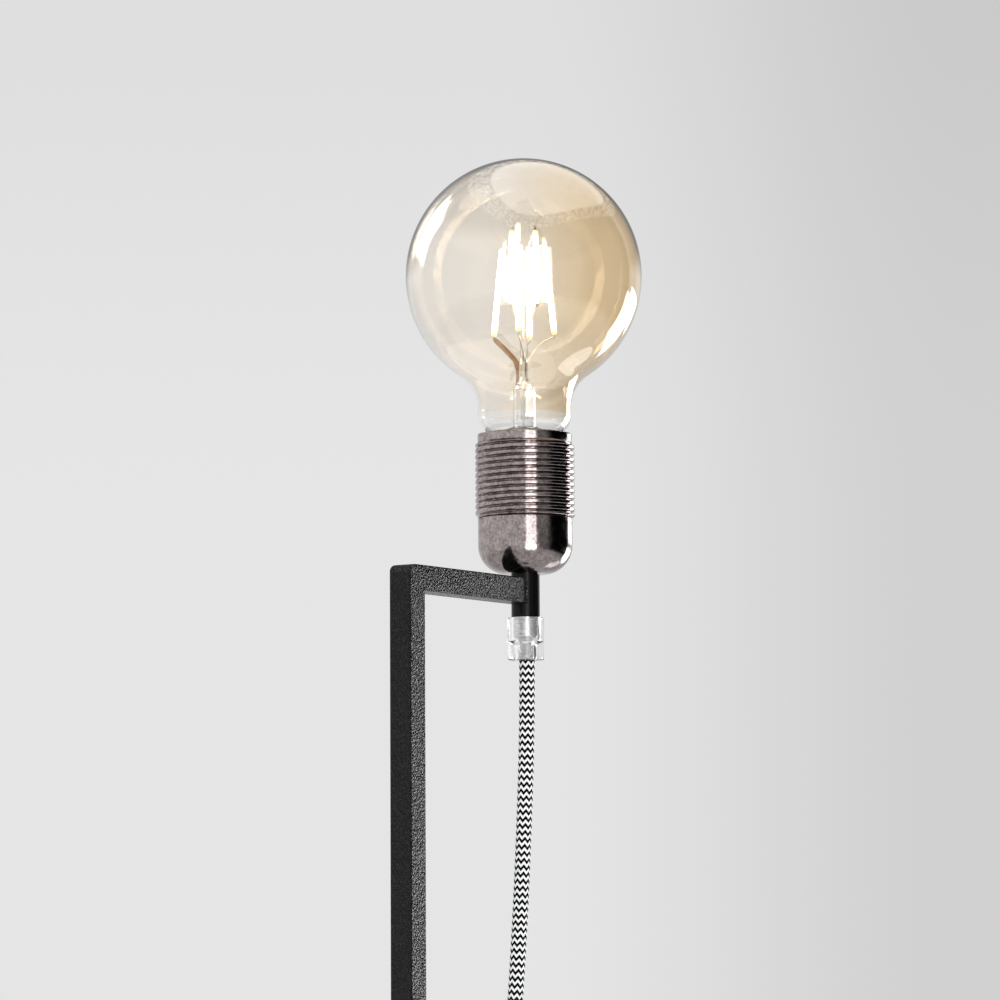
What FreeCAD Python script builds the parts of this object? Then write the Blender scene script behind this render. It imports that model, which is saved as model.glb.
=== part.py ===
import FreeCAD, Part
import math
import os

Vector = FreeCAD.Vector
upward = Vector(0, 0, 1)
origin = Vector(0, 0, 0)

# Floor lamp: a square steel bar on a plate, a short arm, a bare lampholder and a globe bulb.
# Row frame in millimetres: +Z up, arm along +X, origin on the floor at the centre of the plate.

# General fits
overrun = 2.0
slip_fit = 0.05
running_gap = 0.3
touching = 0.0005
straight_share = 1e-9
along_share = 0.9
bend_run_share = 0.45
turn_step_share = 1 / 64

# Base plate, its pads and the foot of the upright
pad_thickness = 2.0
pad_radius = 11.0
pad_inset = 20.0
plate_side = 240.0
plate_thickness = 6.0
plate_corner_radius = 10.0
plate_edge_round = 0.8
flange_side = 40.0
flange_thickness = 4.0
flange_corner_radius = 4.0
flange_screw_inset = 7.0
flange_screw_radius = 2.0
flange_screw_head_radius = 3.8
flange_screw_head_height = 2.3
flange_screw_reach = 3.4
flange_screw_key_across = 2.5
flange_screw_key_depth = 1.2
foot_weld_leg = 3.0

# Square bar: upright and arm, joined on a mitre
bar_side = 10.0
bar_edge_round = 0.6
arm_reach = 81.0
arm_top_height = 1280.0
corner_round = 4.0
arm_end_chamfer = 3.0
arm_weld_radius = 1.9
arm_weld_setback = 5.9
arm_weld_offset = 2.9

# Sleeve at the end of the arm and the threaded tube in it
sleeve_radius = 5.7
sleeve_rise = 2.0
sleeve_drop = 5.4
nipple_radius = 5.0
nipple_bore_radius = 3.6
nipple_rise = 7.0
cord_end_drop = 1.0
nipple_drop = 8.0
nipple_nut_thickness = 2.6
nipple_nut_radius = 7.8
nipple_nut_corner = 8.2

# Lampholder shell: a domed cup below and a threaded skirt above
cup_radius = 18.9
cup_wall = 1.3
cup_height = 22.3
cup_dome_radius = 11.5
skirt_height = 34.0
skirt_wall = 1.3
skirt_rim_height = 3.6
skirt_rim_round = 0.45
skirt_spigot_height = 6.0
skirt_thread_radius = 19.9
skirt_thread_pitch = 2.5
skirt_ridge_base = 1.9
skirt_ridge_crest = 0.7
skirt_thread_margin = 0.25
thread_root_sink = 0.2

# Lampholder inside
core_gap = 0.4
core_top_drop = 3.2
core_floor_drop = 30.6
core_foot_drop = 45.0
core_wire_hole_radius = 1.6
core_wire_hole_circle = 9.0
collar_height = 1.8
shell_radius = 13.9
shell_wall = 0.45
shell_top_drop = 3.4
shell_foot_drop = 27.6
shell_ridge_height = 0.95
shell_ridge_base = 1.5
shell_ridge_crest = 0.6
shell_ridge_turns = 4.0
shell_ridge_start_drop = 23.0
contact_width = 7.0
contact_thickness = 0.5
contact_length = 13.0
terminal_width = 6.0
terminal_depth = 5.0
terminal_height = 6.0
terminal_circle = 10.5
terminal_screw_radius = 1.3
terminal_screw_head_radius = 2.1
terminal_screw_head_height = 1.3
terminal_screw_length = 5.2
terminal_slot_width = 0.6
terminal_slot_depth = 0.6
earth_lug_rise = 5.0
earth_lug_offset = 12.0
earth_screw_height = 3.9
earth_wire_rise = 3.8
core_recess_radius = 12.5
core_recess_height = 4.0
core_wire_radius = 1.05
wire_bend_height = 2.2
wire_bend_radius = 1.4

# Cord grip of clear plastic under the sleeve
grip_radius = 7.25
grip_height = 17.0
grip_edge_round = 0.8
grip_bore_radius = 3.4
grip_throat_height = 3.0
grip_screw_radius = 2.4
grip_screw_rise = 4.6
grip_screw_slot_width = 0.8
grip_screw_slot_depth = 1.2
grip_screw_recess = 0.6
grip_screw_angle = 214.4

# Bulb: a globe of 95 on a screw cap
globe_radius = 47.5
globe_rise = 64.0
glass_wall = 0.8
neck_radius = 18.7
shoulder_radius = 16.0
neck_foot_round = 8.0
neck_foot_drop = 0.6
neck_mouth_angle = 72.0
cap_radius = 13.1
cap_core_radius = 12.05
cap_wall = 0.4
cap_collar_height = 3.6
cap_thread_pitch = 3.629
cap_ridge_base = 2.0
cap_ridge_crest = 0.9
cap_ridge_turns = 3.8
cap_shell_drop = 23.4
insulator_height = 2.6
insulator_foot_radius = 6.2
bulb_button_radius = 4.8
bulb_button_height = 1.4
bulb_button_crown = 0.6

# Inside of the bulb
stem_flare_rise = 0.9
stem_radius = 4.6
stem_wall = 0.7
stem_neck_rise = 2.6
stem_tube_top_rise = 19.0
stem_press_width = 8.4
stem_press_depth = 3.4
stem_press_round = 1.1
stem_press_top_rise = 30.5
exhaust_radius = 1.5
exhaust_wall = 0.45
exhaust_foot_rise = 6.0
post_radius = 1.1
post_top_rise = 72.0
hub_radius = 2.0
hub_height = 2.4
filament_radius = 0.9
filament_count = 4
filament_foot_circle = 12.4
filament_foot_rise = 40.0
filament_head_circle = 8.8
filament_head_rise = 75.6
filament_first_angle = 203.4
strip_index = 3
inner_filament_angles = (170.0, 259.0)
inner_filament_foot_circle = 7.4
inner_filament_foot_rise = 52.4
inner_filament_head_circle = 6.6
inner_filament_head_rise = 82.2
strip_width = 1.5
strip_thickness = 0.35
support_wire_radius = 0.3
press_wire_circle = 1.9
lead_wire_radius = 0.35
lead_wire_offset = 2.4
driver_board_side = 15.0
driver_board_height = 13.0
driver_board_thickness = 1.2
driver_board_foot_drop = 20.5
driver_chip_side = 4.0
driver_chip_thickness = 1.5
driver_capacitor_radius = 3.0
driver_capacitor_height = 7.0
driver_capacitor_rise = 2.0

# Cord, its stretches and its coil
cord_radius = 3.1
cord_stretch_top = [
    (40.5, 0.0, 1288.0),
    (40.5, 0.0, 1228.0),
    (40.0, 2.6, 1152.0),
    (38.5, 9.2, 1076.0),
    (36.2, 18.4, 996.0),
    (33.6, 28.4, 912.0),
    (31.4, 37.6, 828.0),
    (29.6, 45.4, 744.0),
    (28.4, 51.0, 662.0),
    (28.0, 54.0, 588.0),
    (28.0, 54.0, 528.0),
]
cord_stretch_low = [
    (28.0, 54.0, 468.0),
    (28.0, 54.0, 408.0),
    (27.6, 56.4, 330.0),
    (27.2, 60.6, 250.0),
    (26.8, 66.4, 172.0),
    (26.4, 73.2, 118.0),
    (26.0, 83.0, 76.0),
    (26.4, 99.6, 42.0),
    (28.6, 123.6, 20.6),
    (35.6, 150.8, 9.4),
    (47.0, 176.6, 5.6),
    (57.4, 199.0, 4.8),
    (60.0, 212.0, 4.8),
    (60.0, 225.0, 4.8),
]
cord_tail = [
    (5.8, 280.9, 11.7),
    (-11.0, 280.9, 11.7),
    (-30.0, 284.2, 13.4),
    (-48.0, 289.6, 16.6),
    (-65.0, 292.0, 18.8),
    (-81.0, 292.0, 18.8),
]
coil_outer_radius = 48.0
coil_turns = 7.0
coil_exit_turns = 0.25
coil_pitch = 6.9
coil_layer_rise = 6.9
coil_climb_turns = 0.5
coil_end_length = 6.2
coil_steps_per_turn = 4
tie_width = 12.0
tie_thickness = 1.0
tie_gap = 0.4
tie_angle = 45.0

# Rocker switch in the hanging stretch
switch_length = 76.0
switch_width = 27.0
switch_back_depth = 10.0
switch_front_depth = 9.0
switch_wall = 1.8
switch_edge_round = 4.0
switch_window_length = 21.0
switch_window_width = 12.0
rocker_gap = 0.3
rocker_side_gap = 0.4
rocker_depth = 5.2
rocker_crown = 1.6
rocker_tilt = 7.0
rocker_pin_radius = 1.2
rocker_pin_length = 15.4
rocker_pin_drop = 4.0
rocker_boss_side = 4.4
rocker_boss_thickness = 2.6
rocker_hub_wall = 1.0
switch_contact_thickness = 0.6
switch_contact_width = 5.0
switch_contact_length = 8.0
switch_clamp_length = 7.0
switch_clamp_height = 3.2
switch_screw_radius = 1.4
switch_screw_head_radius = 2.6
switch_screw_head_height = 1.6
switch_screw_inset = 13.0
switch_wire_radius = 1.05
switch_wire_spread = 6.2
switch_wire_lead = 5.0
switch_wire_bend_reach = 14.0

# Plug at the end of the cord
boot_length = 26.0
boot_front_radius = 6.4
boot_rear_radius = 4.4
plug_radius = 18.3
plug_face_length = 19.0
plug_taper_length = 22.0
plug_rear_radius = 10.5
plug_edge_round = 1.2
plug_groove_width = 5.4
plug_groove_depth = 2.6
plug_groove_length = 17.0
plug_pin_radius = 2.4
plug_pin_length = 19.0
plug_pin_spacing = 19.0
plug_pin_root = 9.0
plug_pin_root_radius = 2.0
plug_clip_width = 3.8
plug_clip_thickness = 0.8
plug_clip_length = 14.0
plug_clip_setback = 2.0

# Places worked out from the sizes above
half_bar = bar_side / 2
upright_x = -arm_reach / 2
head_x = arm_reach / 2
plate_foot_height = pad_thickness
plate_top_height = plate_foot_height + plate_thickness
flange_top_height = plate_top_height + flange_thickness
arm_foot_height = arm_top_height - bar_side
sleeve_top_height = arm_top_height + sleeve_rise
sleeve_foot_height = arm_foot_height - sleeve_drop
cord_end_height = sleeve_top_height + nipple_rise - cord_end_drop
grip_foot_height = sleeve_foot_height - grip_height
rim_height = sleeve_top_height + cup_height + skirt_height
cup_top_height = rim_height - skirt_height
switch_x = cord_stretch_top[-1][0]
switch_y = cord_stretch_top[-1][1]
switch_height = (cord_stretch_top[-1][2] + cord_stretch_low[0][2]) / 2


def block(low, high):
    size = [high[i] - low[i] for i in range(3)]
    return Part.makeBox(size[0], size[1], size[2], Vector(*low))


def rod(start, end, radius):
    start = Vector(*start)
    way = Vector(*end) - start
    return Part.makeCylinder(radius, way.Length, start, way)


def upright_rod(x, y, low, high, radius):
    return rod((x, y, low), (x, y, high), radius)


def rounded_slab(side_x, side_y, low, high, corner_radius):
    slab = block((-side_x / 2, -side_y / 2, low), (side_x / 2, side_y / 2, high))
    corners = [e for e in slab.Edges if abs(e.tangentAt(e.FirstParameter).z) > along_share]
    return slab.makeFillet(corner_radius, corners)


def moved(shape, x, y, z):
    return shape.translated(Vector(x, y, z))


def turned(shape, angle, centre=origin, axis=upward):
    copy = shape.copy()
    copy.rotate(centre, axis, angle)
    return copy


def circle_point(centre, radius, angle):
    turn = math.radians(angle)
    return (centre[0] + radius * math.cos(turn), centre[1] + radius * math.sin(turn))


# A closed outline in the half plane (r, z): a step is a point, or the middle and the end of an arc.
def lathe(first, steps):
    edges = []
    place = Vector(first[0], 0, first[1])
    for step in list(steps) + [(first,)]:
        end = Vector(step[-1][0], 0, step[-1][1])
        if (end - place).Length < touching:
            continue
        if len(step) == 1:
            edges.append(Part.makeLine(place, end))
        else:
            middle = Vector(step[0][0], 0, step[0][1])
            edges.append(Part.Arc(place, middle, end).toShape())
        place = end
    return Part.Face(Part.Wire(edges)).revolve(origin, upward, 360)


def hollow_rod(radius, bore, low, high):
    return lathe((bore, low), [((radius, low),), ((radius, high),), ((bore, high),)])


def fused(shapes):
    whole = shapes[0]
    for shape in shapes[1:]:
        whole = whole.fuse(shape)
    return whole.removeSplitter()


# A screw thread's ridge: straight flanks from the root, which is sunk a little in its wall.
def thread_ridge(pitch, turns, root, crest, root_width, crest_width):
    out = 1 if crest > root else -1
    flank = (root_width - crest_width) / 2 / abs(crest - root)
    sunk = root - out * thread_root_sink
    sunk_half = root_width / 2 + flank * thread_root_sink
    corners = [
        Vector(sunk, 0, -sunk_half),
        Vector(crest, 0, -crest_width / 2),
        Vector(crest, 0, crest_width / 2),
        Vector(sunk, 0, sunk_half),
    ]
    path = Part.Wire(Part.makeHelix(pitch, pitch * turns, root))
    return path.makePipeShell([Part.makePolygon(corners + corners[:1])], True, True)


def arc_between(start, way, end):
    chord = end - start
    along = Vector(chord).normalize()
    side = way - along * way.dot(along)
    if side.Length < straight_share:
        return Part.makeLine(start, end)
    half_angle = way.getAngle(along) / 2
    side.normalize()
    middle = (start + end) / 2 + side * (chord.Length / 2 * math.tan(half_angle))
    return Part.Arc(start, middle, end).toShape()


# Two arcs that leave one point along its way and reach the next along that one's way.
def two_arcs(start, way, end, end_way):
    gap = end - start
    total = way + end_way
    bend = 2 * (1 - way.dot(end_way))
    reach = (math.sqrt(gap.dot(total) ** 2 + bend * gap.dot(gap)) - gap.dot(total)) / bend
    middle = (start + way * reach + end - end_way * reach) / 2
    first = arc_between(start, way, middle)
    second = arc_between(end, -end_way, middle)
    return [first, second]


def swept(edges, radius, start, way):
    ring = Part.Wire(Part.makeCircle(radius, start, way))
    return Part.Wire(edges).makePipeShell([ring], True, False)


# A round tube along straight runs joined by tangent arcs.
def tube_along(name, route, radius, bend=None):
    points = [Vector(*p) for p in route]
    edges = []
    radii = []
    place = points[0]
    for before, corner, after in zip(points, points[1:], points[2:]):
        way_in = (corner - before).normalize()
        way_out = (after - corner).normalize()
        half_turn = way_in.getAngle(way_out) / 2
        run = min((corner - before).Length, (after - corner).Length)
        size = bend or bend_run_share * run / math.tan(half_turn)
        trim = size * math.tan(half_turn)
        arc_start = corner - way_in * trim
        arc_end = corner + way_out * trim
        edges.append(Part.makeLine(place, arc_start))
        edges.append(arc_between(arc_start, way_in, arc_end))
        radii.append(size)
        place = arc_end
    edges.append(Part.makeLine(place, points[-1]))
    tube = swept(edges, radius, points[0], points[1] - points[0])
    length = sum(e.Length for e in edges)
    ratio = tube.Volume / (math.pi * radius ** 2 * length)
    if bend is None:
        spans = [(b - a).Length for a, b in zip(points, points[1:])]
        print(name, "length %.0f, volume ratio %.4f" % (length, ratio))
        print("  radii", [round(r) for r in radii], "runs", [round(s) for s in spans])
    return tube


def base_plate():
    plate = rounded_slab(plate_side, plate_side, plate_foot_height, plate_top_height,
                         plate_corner_radius)
    top = [e for e in plate.Edges if min(v.Z for v in e.Vertexes) > plate_top_height - slip_fit]
    plate = plate.makeFillet(plate_edge_round, top)
    return plate.cut(Part.makeCompound([screw_clearance(x, y) for x, y in flange_screw_places()]))


def pad_places():
    far = plate_side / 2 - pad_inset
    return [(sx * far, sy * far) for sx in (-1, 1) for sy in (-1, 1)]


def base_pads():
    return Part.makeCompound([upright_rod(x, y, 0, pad_thickness, pad_radius)
                              for x, y in pad_places()])


def flange_screw_places():
    far = flange_side / 2 - flange_screw_inset
    return [(upright_x + sx * far, sy * far) for sx in (-1, 1) for sy in (-1, 1)]


def screw_outline(gap, reach):
    head = flange_screw_head_radius + gap
    body = flange_screw_radius + gap
    foot = plate_foot_height
    return lathe((0, foot), [
        ((head, foot),),
        ((body, foot + flange_screw_head_height),),
        ((body, foot + reach),),
        ((0, foot + reach),),
    ])


def screw_clearance(x, y):
    return moved(screw_outline(slip_fit, plate_thickness + overrun), x, y, 0)


def flange_screws():
    reach = plate_thickness + flange_screw_reach
    key = Part.makeCylinder(flange_screw_key_across / 2, flange_screw_key_depth + overrun,
                            Vector(0, 0, plate_foot_height - overrun))
    screw = screw_outline(0, reach).cut(key)
    return Part.makeCompound([moved(screw, x, y, 0) for x, y in flange_screw_places()])


def foot_flange():
    flange = rounded_slab(flange_side, flange_side, plate_top_height, flange_top_height,
                          flange_corner_radius)
    flange = moved(flange, upright_x, 0, 0)
    hole_top = plate_top_height + flange_screw_reach + slip_fit
    for x, y in flange_screw_places():
        hole = upright_rod(x, y, plate_top_height - overrun, hole_top, flange_screw_radius + slip_fit)
        flange = flange.cut(hole)
    return flange


def foot_weld():
    def square(side, height):
        h = side / 2
        corners = [Vector(-h, -h, height), Vector(h, -h, height), Vector(h, h, height),
                   Vector(-h, h, height)]
        return Part.makePolygon(corners + corners[:1])

    bead = Part.makeLoft([square(bar_side + 2 * foot_weld_leg, flange_top_height),
                          square(bar_side, flange_top_height + foot_weld_leg)], True)
    return moved(bead, upright_x, 0, 0).cut(upright_bar())


# The half space beyond the mitre plane, which runs through the inner and the outer corner.
def mitre_cut(keep_arm):
    inner = (upright_x + half_bar, arm_foot_height)
    outer = (upright_x - half_bar, arm_top_height)
    reach = arm_reach + bar_side
    start = Vector(inner[0] + reach, 0, inner[1] - reach)
    end = Vector(outer[0] - reach, 0, outer[1] + reach)
    corner = Vector(end.x, 0, start.z) if keep_arm else Vector(start.x, 0, end.z)
    face = Part.Face(Part.makePolygon([start, end, corner, start]))
    prism = face.extrude(Vector(0, 2 * bar_side, 0))
    return prism.translated(Vector(0, -bar_side, 0))


def long_edges_rounded(bar, axis):
    edges = [e for e in bar.Edges if abs(e.tangentAt(e.FirstParameter).dot(axis)) > along_share]
    return bar.makeFillet(bar_edge_round, edges)


def corner_rounding():
    x = upright_x - half_bar
    z = arm_top_height
    centre = Vector(x + corner_round, 0, z - corner_round)
    waste = block((x - overrun, -bar_side, centre.z), (centre.x, bar_side, z + overrun))
    core = Part.makeCylinder(corner_round, 2 * bar_side, Vector(centre.x, -bar_side, centre.z),
                             Vector(0, 1, 0))
    return waste.cut(core)


def upright_bar():
    bar = block((upright_x - half_bar, -half_bar, flange_top_height),
                (upright_x + half_bar, half_bar, arm_top_height))
    bar = long_edges_rounded(bar, upward)
    return bar.cut(mitre_cut(False)).cut(corner_rounding())


def arm_bar():
    bar = block((upright_x - half_bar, -half_bar, arm_foot_height),
                (head_x, half_bar, arm_top_height))
    bar = long_edges_rounded(bar, Vector(1, 0, 0))
    bar = bar.cut(mitre_cut(True)).cut(corner_rounding())
    back = head_x - sleeve_radius
    for side in (-1, 1):
        corners = [
            Vector(back - arm_end_chamfer, side * half_bar, 0),
            Vector(back, side * (half_bar - arm_end_chamfer), 0),
            Vector(head_x + overrun, side * (half_bar - arm_end_chamfer), 0),
            Vector(head_x + overrun, side * (half_bar + overrun), 0),
            Vector(back - arm_end_chamfer, side * (half_bar + overrun), 0),
        ]
        waste = Part.Face(Part.makePolygon(corners + corners[:1]))
        waste = waste.extrude(Vector(0, 0, bar_side + 2 * overrun))
        bar = bar.cut(moved(waste, 0, 0, arm_foot_height - overrun))
    return bar.cut(upright_rod(head_x, 0, arm_foot_height - overrun, arm_top_height + overrun,
                               sleeve_radius))


def arm_weld():
    arm = arm_bar()
    sleeve = upright_rod(head_x, 0, arm_foot_height - overrun, arm_top_height + overrun,
                         sleeve_radius)
    beads = []
    for side in (-1, 1):
        bead = upright_rod(head_x - arm_weld_setback, side * arm_weld_offset, arm_foot_height,
                           arm_top_height, arm_weld_radius)
        beads.append(bead.cut(arm).cut(sleeve))
    return Part.makeCompound(beads)


def head(shape):
    return moved(shape, head_x, 0, 0)


def holder_sleeve():
    return head(hollow_rod(sleeve_radius, nipple_radius + slip_fit, sleeve_foot_height,
                           sleeve_top_height))


def threaded_nipple():
    return head(hollow_rod(nipple_radius, nipple_bore_radius, sleeve_foot_height - nipple_drop,
                           sleeve_top_height + nipple_rise))


def nipple_nut():
    low = sleeve_top_height + cup_wall
    ring = Part.makeCylinder(nipple_nut_radius, nipple_nut_thickness, Vector(0, 0, low))
    hexagon = [Vector(*circle_point((0, 0), nipple_nut_corner, angle), low)
               for angle in range(0, 360, 60)]
    prism = Part.Face(Part.makePolygon(hexagon + hexagon[:1]))
    prism = prism.extrude(Vector(0, 0, nipple_nut_thickness))
    bore = Part.makeCylinder(nipple_radius + slip_fit, nipple_nut_thickness + 2 * overrun,
                             Vector(0, 0, low - overrun))
    return head(prism.common(ring).cut(bore))


def holder_cup():
    foot = sleeve_top_height
    top = cup_top_height
    wall = cup_wall
    dome = (cup_radius - cup_dome_radius, foot + cup_dome_radius)
    outer_arc = circle_point(dome, cup_dome_radius, -45)
    inner_arc = circle_point(dome, cup_dome_radius - wall, -45)
    bore = nipple_radius + slip_fit
    cup = lathe((bore, foot), [
        ((dome[0], foot),),
        (outer_arc, (cup_radius, dome[1])),
        ((cup_radius, top),),
        ((cup_radius - wall, top),),
        ((cup_radius - wall, dome[1]),),
        (inner_arc, (dome[0], foot + wall)),
        ((bore, foot + wall),),
    ])
    return head(cup)


def holder_skirt():
    low = cup_top_height
    spigot = cup_radius - cup_wall - slip_fit
    bore = spigot - skirt_wall
    root = skirt_thread_radius - (skirt_ridge_base - skirt_ridge_crest)
    rim_low = rim_height - skirt_rim_height
    rim_round = skirt_rim_round
    start = low + skirt_ridge_base / 2 + skirt_thread_margin
    turns = (rim_low - skirt_ridge_base / 2 - skirt_thread_margin - start) / skirt_thread_pitch
    body = lathe((bore, low - skirt_spigot_height), [
        ((spigot, low - skirt_spigot_height),),
        ((spigot, low),),
        ((root, low),),
        ((root, rim_low),),
        ((cup_radius, rim_low),),
        ((cup_radius, rim_height - rim_round),),
        ((cup_radius - rim_round, rim_height),),
        ((bore, rim_height),),
    ])
    ridge = thread_ridge(skirt_thread_pitch, turns, root, skirt_thread_radius,
                         skirt_ridge_base, skirt_ridge_crest)
    ridge.translate(Vector(0, 0, start))
    return head(body.fuse(ridge))


def core_radius():
    return cup_radius - cup_wall - slip_fit - skirt_wall - core_gap


def core_cavity_radius():
    return shell_radius + slip_fit


def holder_core():
    top = rim_height - core_top_drop
    floor = rim_height - core_floor_drop
    foot = rim_height - core_foot_drop
    outside = core_radius()
    cavity = core_cavity_radius()
    core = lathe((0, foot), [
        ((outside, foot),),
        ((outside, top),),
        ((cavity, top),),
        ((cavity, floor),),
        ((0, floor),),
    ])
    for side in (-1, 1):
        ends = sorted((side * (terminal_circle - terminal_depth / 2), side * (outside + overrun)))
        slot = block((ends[0], -terminal_width / 2, foot + terminal_height),
                     (ends[1], terminal_width / 2, foot + 2 * terminal_height))
        core = core.cut(slot)
        x = side * core_wire_hole_circle
        core = core.cut(upright_rod(x, 0, foot, foot + terminal_height + overrun,
                                    core_wire_hole_radius))
    recess = upright_rod(0, 0, foot - overrun, foot + core_recess_height, core_recess_radius)
    return head(core.cut(recess))


def core_collar():
    top = rim_height - core_top_drop + collar_height
    low = rim_height - core_top_drop
    return head(hollow_rod(core_radius(), core_cavity_radius(), low, top))


def screw_shell():
    low = rim_height - shell_foot_drop
    high = rim_height - shell_top_drop
    bore = shell_radius - shell_wall
    tube = hollow_rod(shell_radius, bore, low, high)
    ridge = thread_ridge(cap_thread_pitch, shell_ridge_turns, bore, bore - shell_ridge_height,
                         shell_ridge_base, shell_ridge_crest)
    ridge.translate(Vector(0, 0, rim_height - shell_ridge_start_drop))
    return head(tube.fuse(ridge))


def button_foot_height():
    return rim_height - cap_shell_drop - insulator_height - bulb_button_height


def centre_contact():
    top = button_foot_height() - running_gap
    floor = rim_height - core_floor_drop
    strip = block((-contact_length / 2, -contact_width / 2, top - contact_thickness),
                  (contact_length / 2, contact_width / 2, top))
    leg = block((contact_length / 2 - contact_thickness, -contact_width / 2, floor),
                (contact_length / 2, contact_width / 2, top))
    foot = block((-contact_length / 2, -contact_width / 2, floor),
                 (contact_length / 2, contact_width / 2, floor + contact_thickness))
    return head(fused([strip, leg, foot]))


def terminal_places():
    low = rim_height - core_foot_drop + terminal_height
    return [(side * terminal_circle, low) for side in (-1, 1)]


def terminal_blocks():
    blocks = []
    for x, low in terminal_places():
        body = block((x - terminal_depth / 2, -terminal_width / 2, low),
                     (x + terminal_depth / 2, terminal_width / 2, low + terminal_height))
        hole = rod((x - terminal_depth, 0, low + terminal_height / 2),
                   (x + terminal_depth, 0, low + terminal_height / 2), terminal_screw_radius)
        wire = upright_rod(x - math.copysign(terminal_circle - core_wire_hole_circle, x), 0,
                           low - overrun, low + terminal_height / 2,
                           core_wire_radius + slip_fit)
        blocks.append(body.cut(hole).cut(wire))
    return head(Part.makeCompound(blocks))


def terminal_screws():
    screws = []
    for x, low in terminal_places():
        out = math.copysign(1, x)
        z = low + terminal_height / 2
        face = x + out * terminal_depth / 2
        tip = face - out * (terminal_screw_length - terminal_screw_head_height)
        end = face + out * terminal_screw_head_height
        body = rod((tip, 0, z), (face, 0, z), terminal_screw_radius - slip_fit)
        top = rod((face, 0, z), (end, 0, z), terminal_screw_head_radius)
        ends = sorted((end - out * terminal_slot_depth, end + out * overrun))
        slot = block((ends[0], -terminal_screw_head_radius - overrun, z - terminal_slot_width / 2),
                     (ends[1], terminal_screw_head_radius + overrun, z + terminal_slot_width / 2))
        screws.append(body.fuse(top).cut(slot))
    return head(Part.makeCompound(screws))


def cup_cavity():
    foot = sleeve_top_height
    centre = (cup_radius - cup_dome_radius, foot + cup_dome_radius)
    radius = cup_dome_radius - cup_wall
    middle = circle_point(centre, radius, -45)
    return lathe((0, foot + cup_wall), [
        ((centre[0], foot + cup_wall),),
        (middle, (centre[0] + radius, centre[1])),
        ((centre[0] + radius, cup_top_height),),
        ((0, cup_top_height),),
    ])


# A lug that reaches the wall of the cup, with a clamping screw on it.
def earth_terminal():
    low = sleeve_top_height + earth_lug_rise
    top = low + earth_screw_height
    half = terminal_width / 2
    lug = block((-half, earth_lug_offset - half, low), (half, cup_radius, low + contact_thickness))
    screw = upright_rod(0, earth_lug_offset, low, top, terminal_screw_head_radius)
    slot = block((-half, earth_lug_offset - terminal_slot_width / 2, top - terminal_slot_depth),
                 (half, earth_lug_offset + terminal_slot_width / 2, top + overrun))
    return head(fused([lug, screw.cut(slot)]).common(cup_cavity()))


def holder_wires():
    start = cord_end_height
    spread = core_wire_radius + slip_fit
    foot = rim_height - core_foot_drop
    top = foot + terminal_height + terminal_height / 2 - terminal_screw_radius - slip_fit
    wires = []
    for side in (-1, 1):
        route = [
            (side * spread, 0, start),
            (side * spread, 0, start + wire_bend_height),
            (side * core_wire_hole_circle, 0, foot + wire_bend_height / 2),
            (side * core_wire_hole_circle, 0, top),
        ]
        wires.append(tube_along("wire", route, core_wire_radius, wire_bend_radius))
    return head(Part.makeCompound(wires))


def earth_wire():
    start = cord_end_height
    spread = 2 * core_wire_radius
    lug_top = sleeve_top_height + earth_lug_rise + contact_thickness
    reach = earth_lug_offset - terminal_screw_head_radius - core_wire_radius / 2
    route = [
        (0, spread, start),
        (0, spread, start + earth_wire_rise),
        (0, reach, lug_top + wire_bend_radius),
    ]
    return head(tube_along("wire", route, core_wire_radius, wire_bend_radius))


def cord_grip():
    foot = grip_foot_height
    top = sleeve_foot_height
    edge = grip_edge_round
    thread_foot = top - nipple_drop - running_gap
    throat = thread_foot - grip_throat_height
    bore = nipple_radius + slip_fit
    body = lathe((grip_bore_radius, foot), [
        ((grip_radius - edge, foot),),
        ((grip_radius, foot + edge),),
        ((grip_radius, top - edge / 2),),
        ((grip_radius - edge / 2, top),),
        ((bore, top),),
        ((bore, thread_foot),),
        ((grip_bore_radius, throat),),
    ])
    centre = foot + grip_screw_rise
    hole = rod((0, 0, centre), (2 * grip_radius, 0, centre), grip_screw_radius + slip_fit)
    return head(body.cut(turned(hole, grip_screw_angle)))


def grip_screw():
    centre = grip_foot_height + grip_screw_rise
    start = cord_radius + slip_fit
    end = grip_radius - grip_screw_recess
    body = rod((start, 0, centre), (end, 0, centre), grip_screw_radius)
    slot = block((end - grip_screw_slot_depth, -grip_radius, centre - grip_screw_slot_width / 2),
                 (end + overrun, grip_radius, centre + grip_screw_slot_width / 2))
    return head(turned(body.cut(slot), grip_screw_angle))


# Where a globe, a hollow shoulder arc and the neck touch, for the glass's outside or its inside.
def bulb_outline(inset):
    globe = globe_radius - inset
    neck = neck_radius - inset
    shoulder = shoulder_radius + inset
    foot_round = neck_foot_round - inset
    centre = rim_height + globe_rise
    shoulder_drop = math.sqrt((globe + shoulder) ** 2 - (neck + shoulder) ** 2)
    shoulder_centre = (neck + shoulder, centre - shoulder_drop)
    touch = (globe / (globe + shoulder) * shoulder_centre[0],
             centre - globe / (globe + shoulder) * shoulder_drop)
    lean = math.degrees(math.atan2(shoulder_drop, neck + shoulder))
    shoulder_middle = circle_point(shoulder_centre, shoulder, 180 - lean / 2)
    globe_middle = circle_point((0, centre), globe, (90 - lean) / 2)
    foot_centre = (neck - foot_round, rim_height - neck_foot_drop + neck_foot_round)
    mouth = circle_point(foot_centre, foot_round, -neck_mouth_angle)
    foot_middle = circle_point(foot_centre, foot_round, -neck_mouth_angle / 2)
    steps = [
        (foot_middle, (neck, foot_centre[1])),
        ((neck, shoulder_centre[1]),),
        (shoulder_middle, touch),
        (globe_middle, (0, centre + globe)),
    ]
    return mouth, steps


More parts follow.
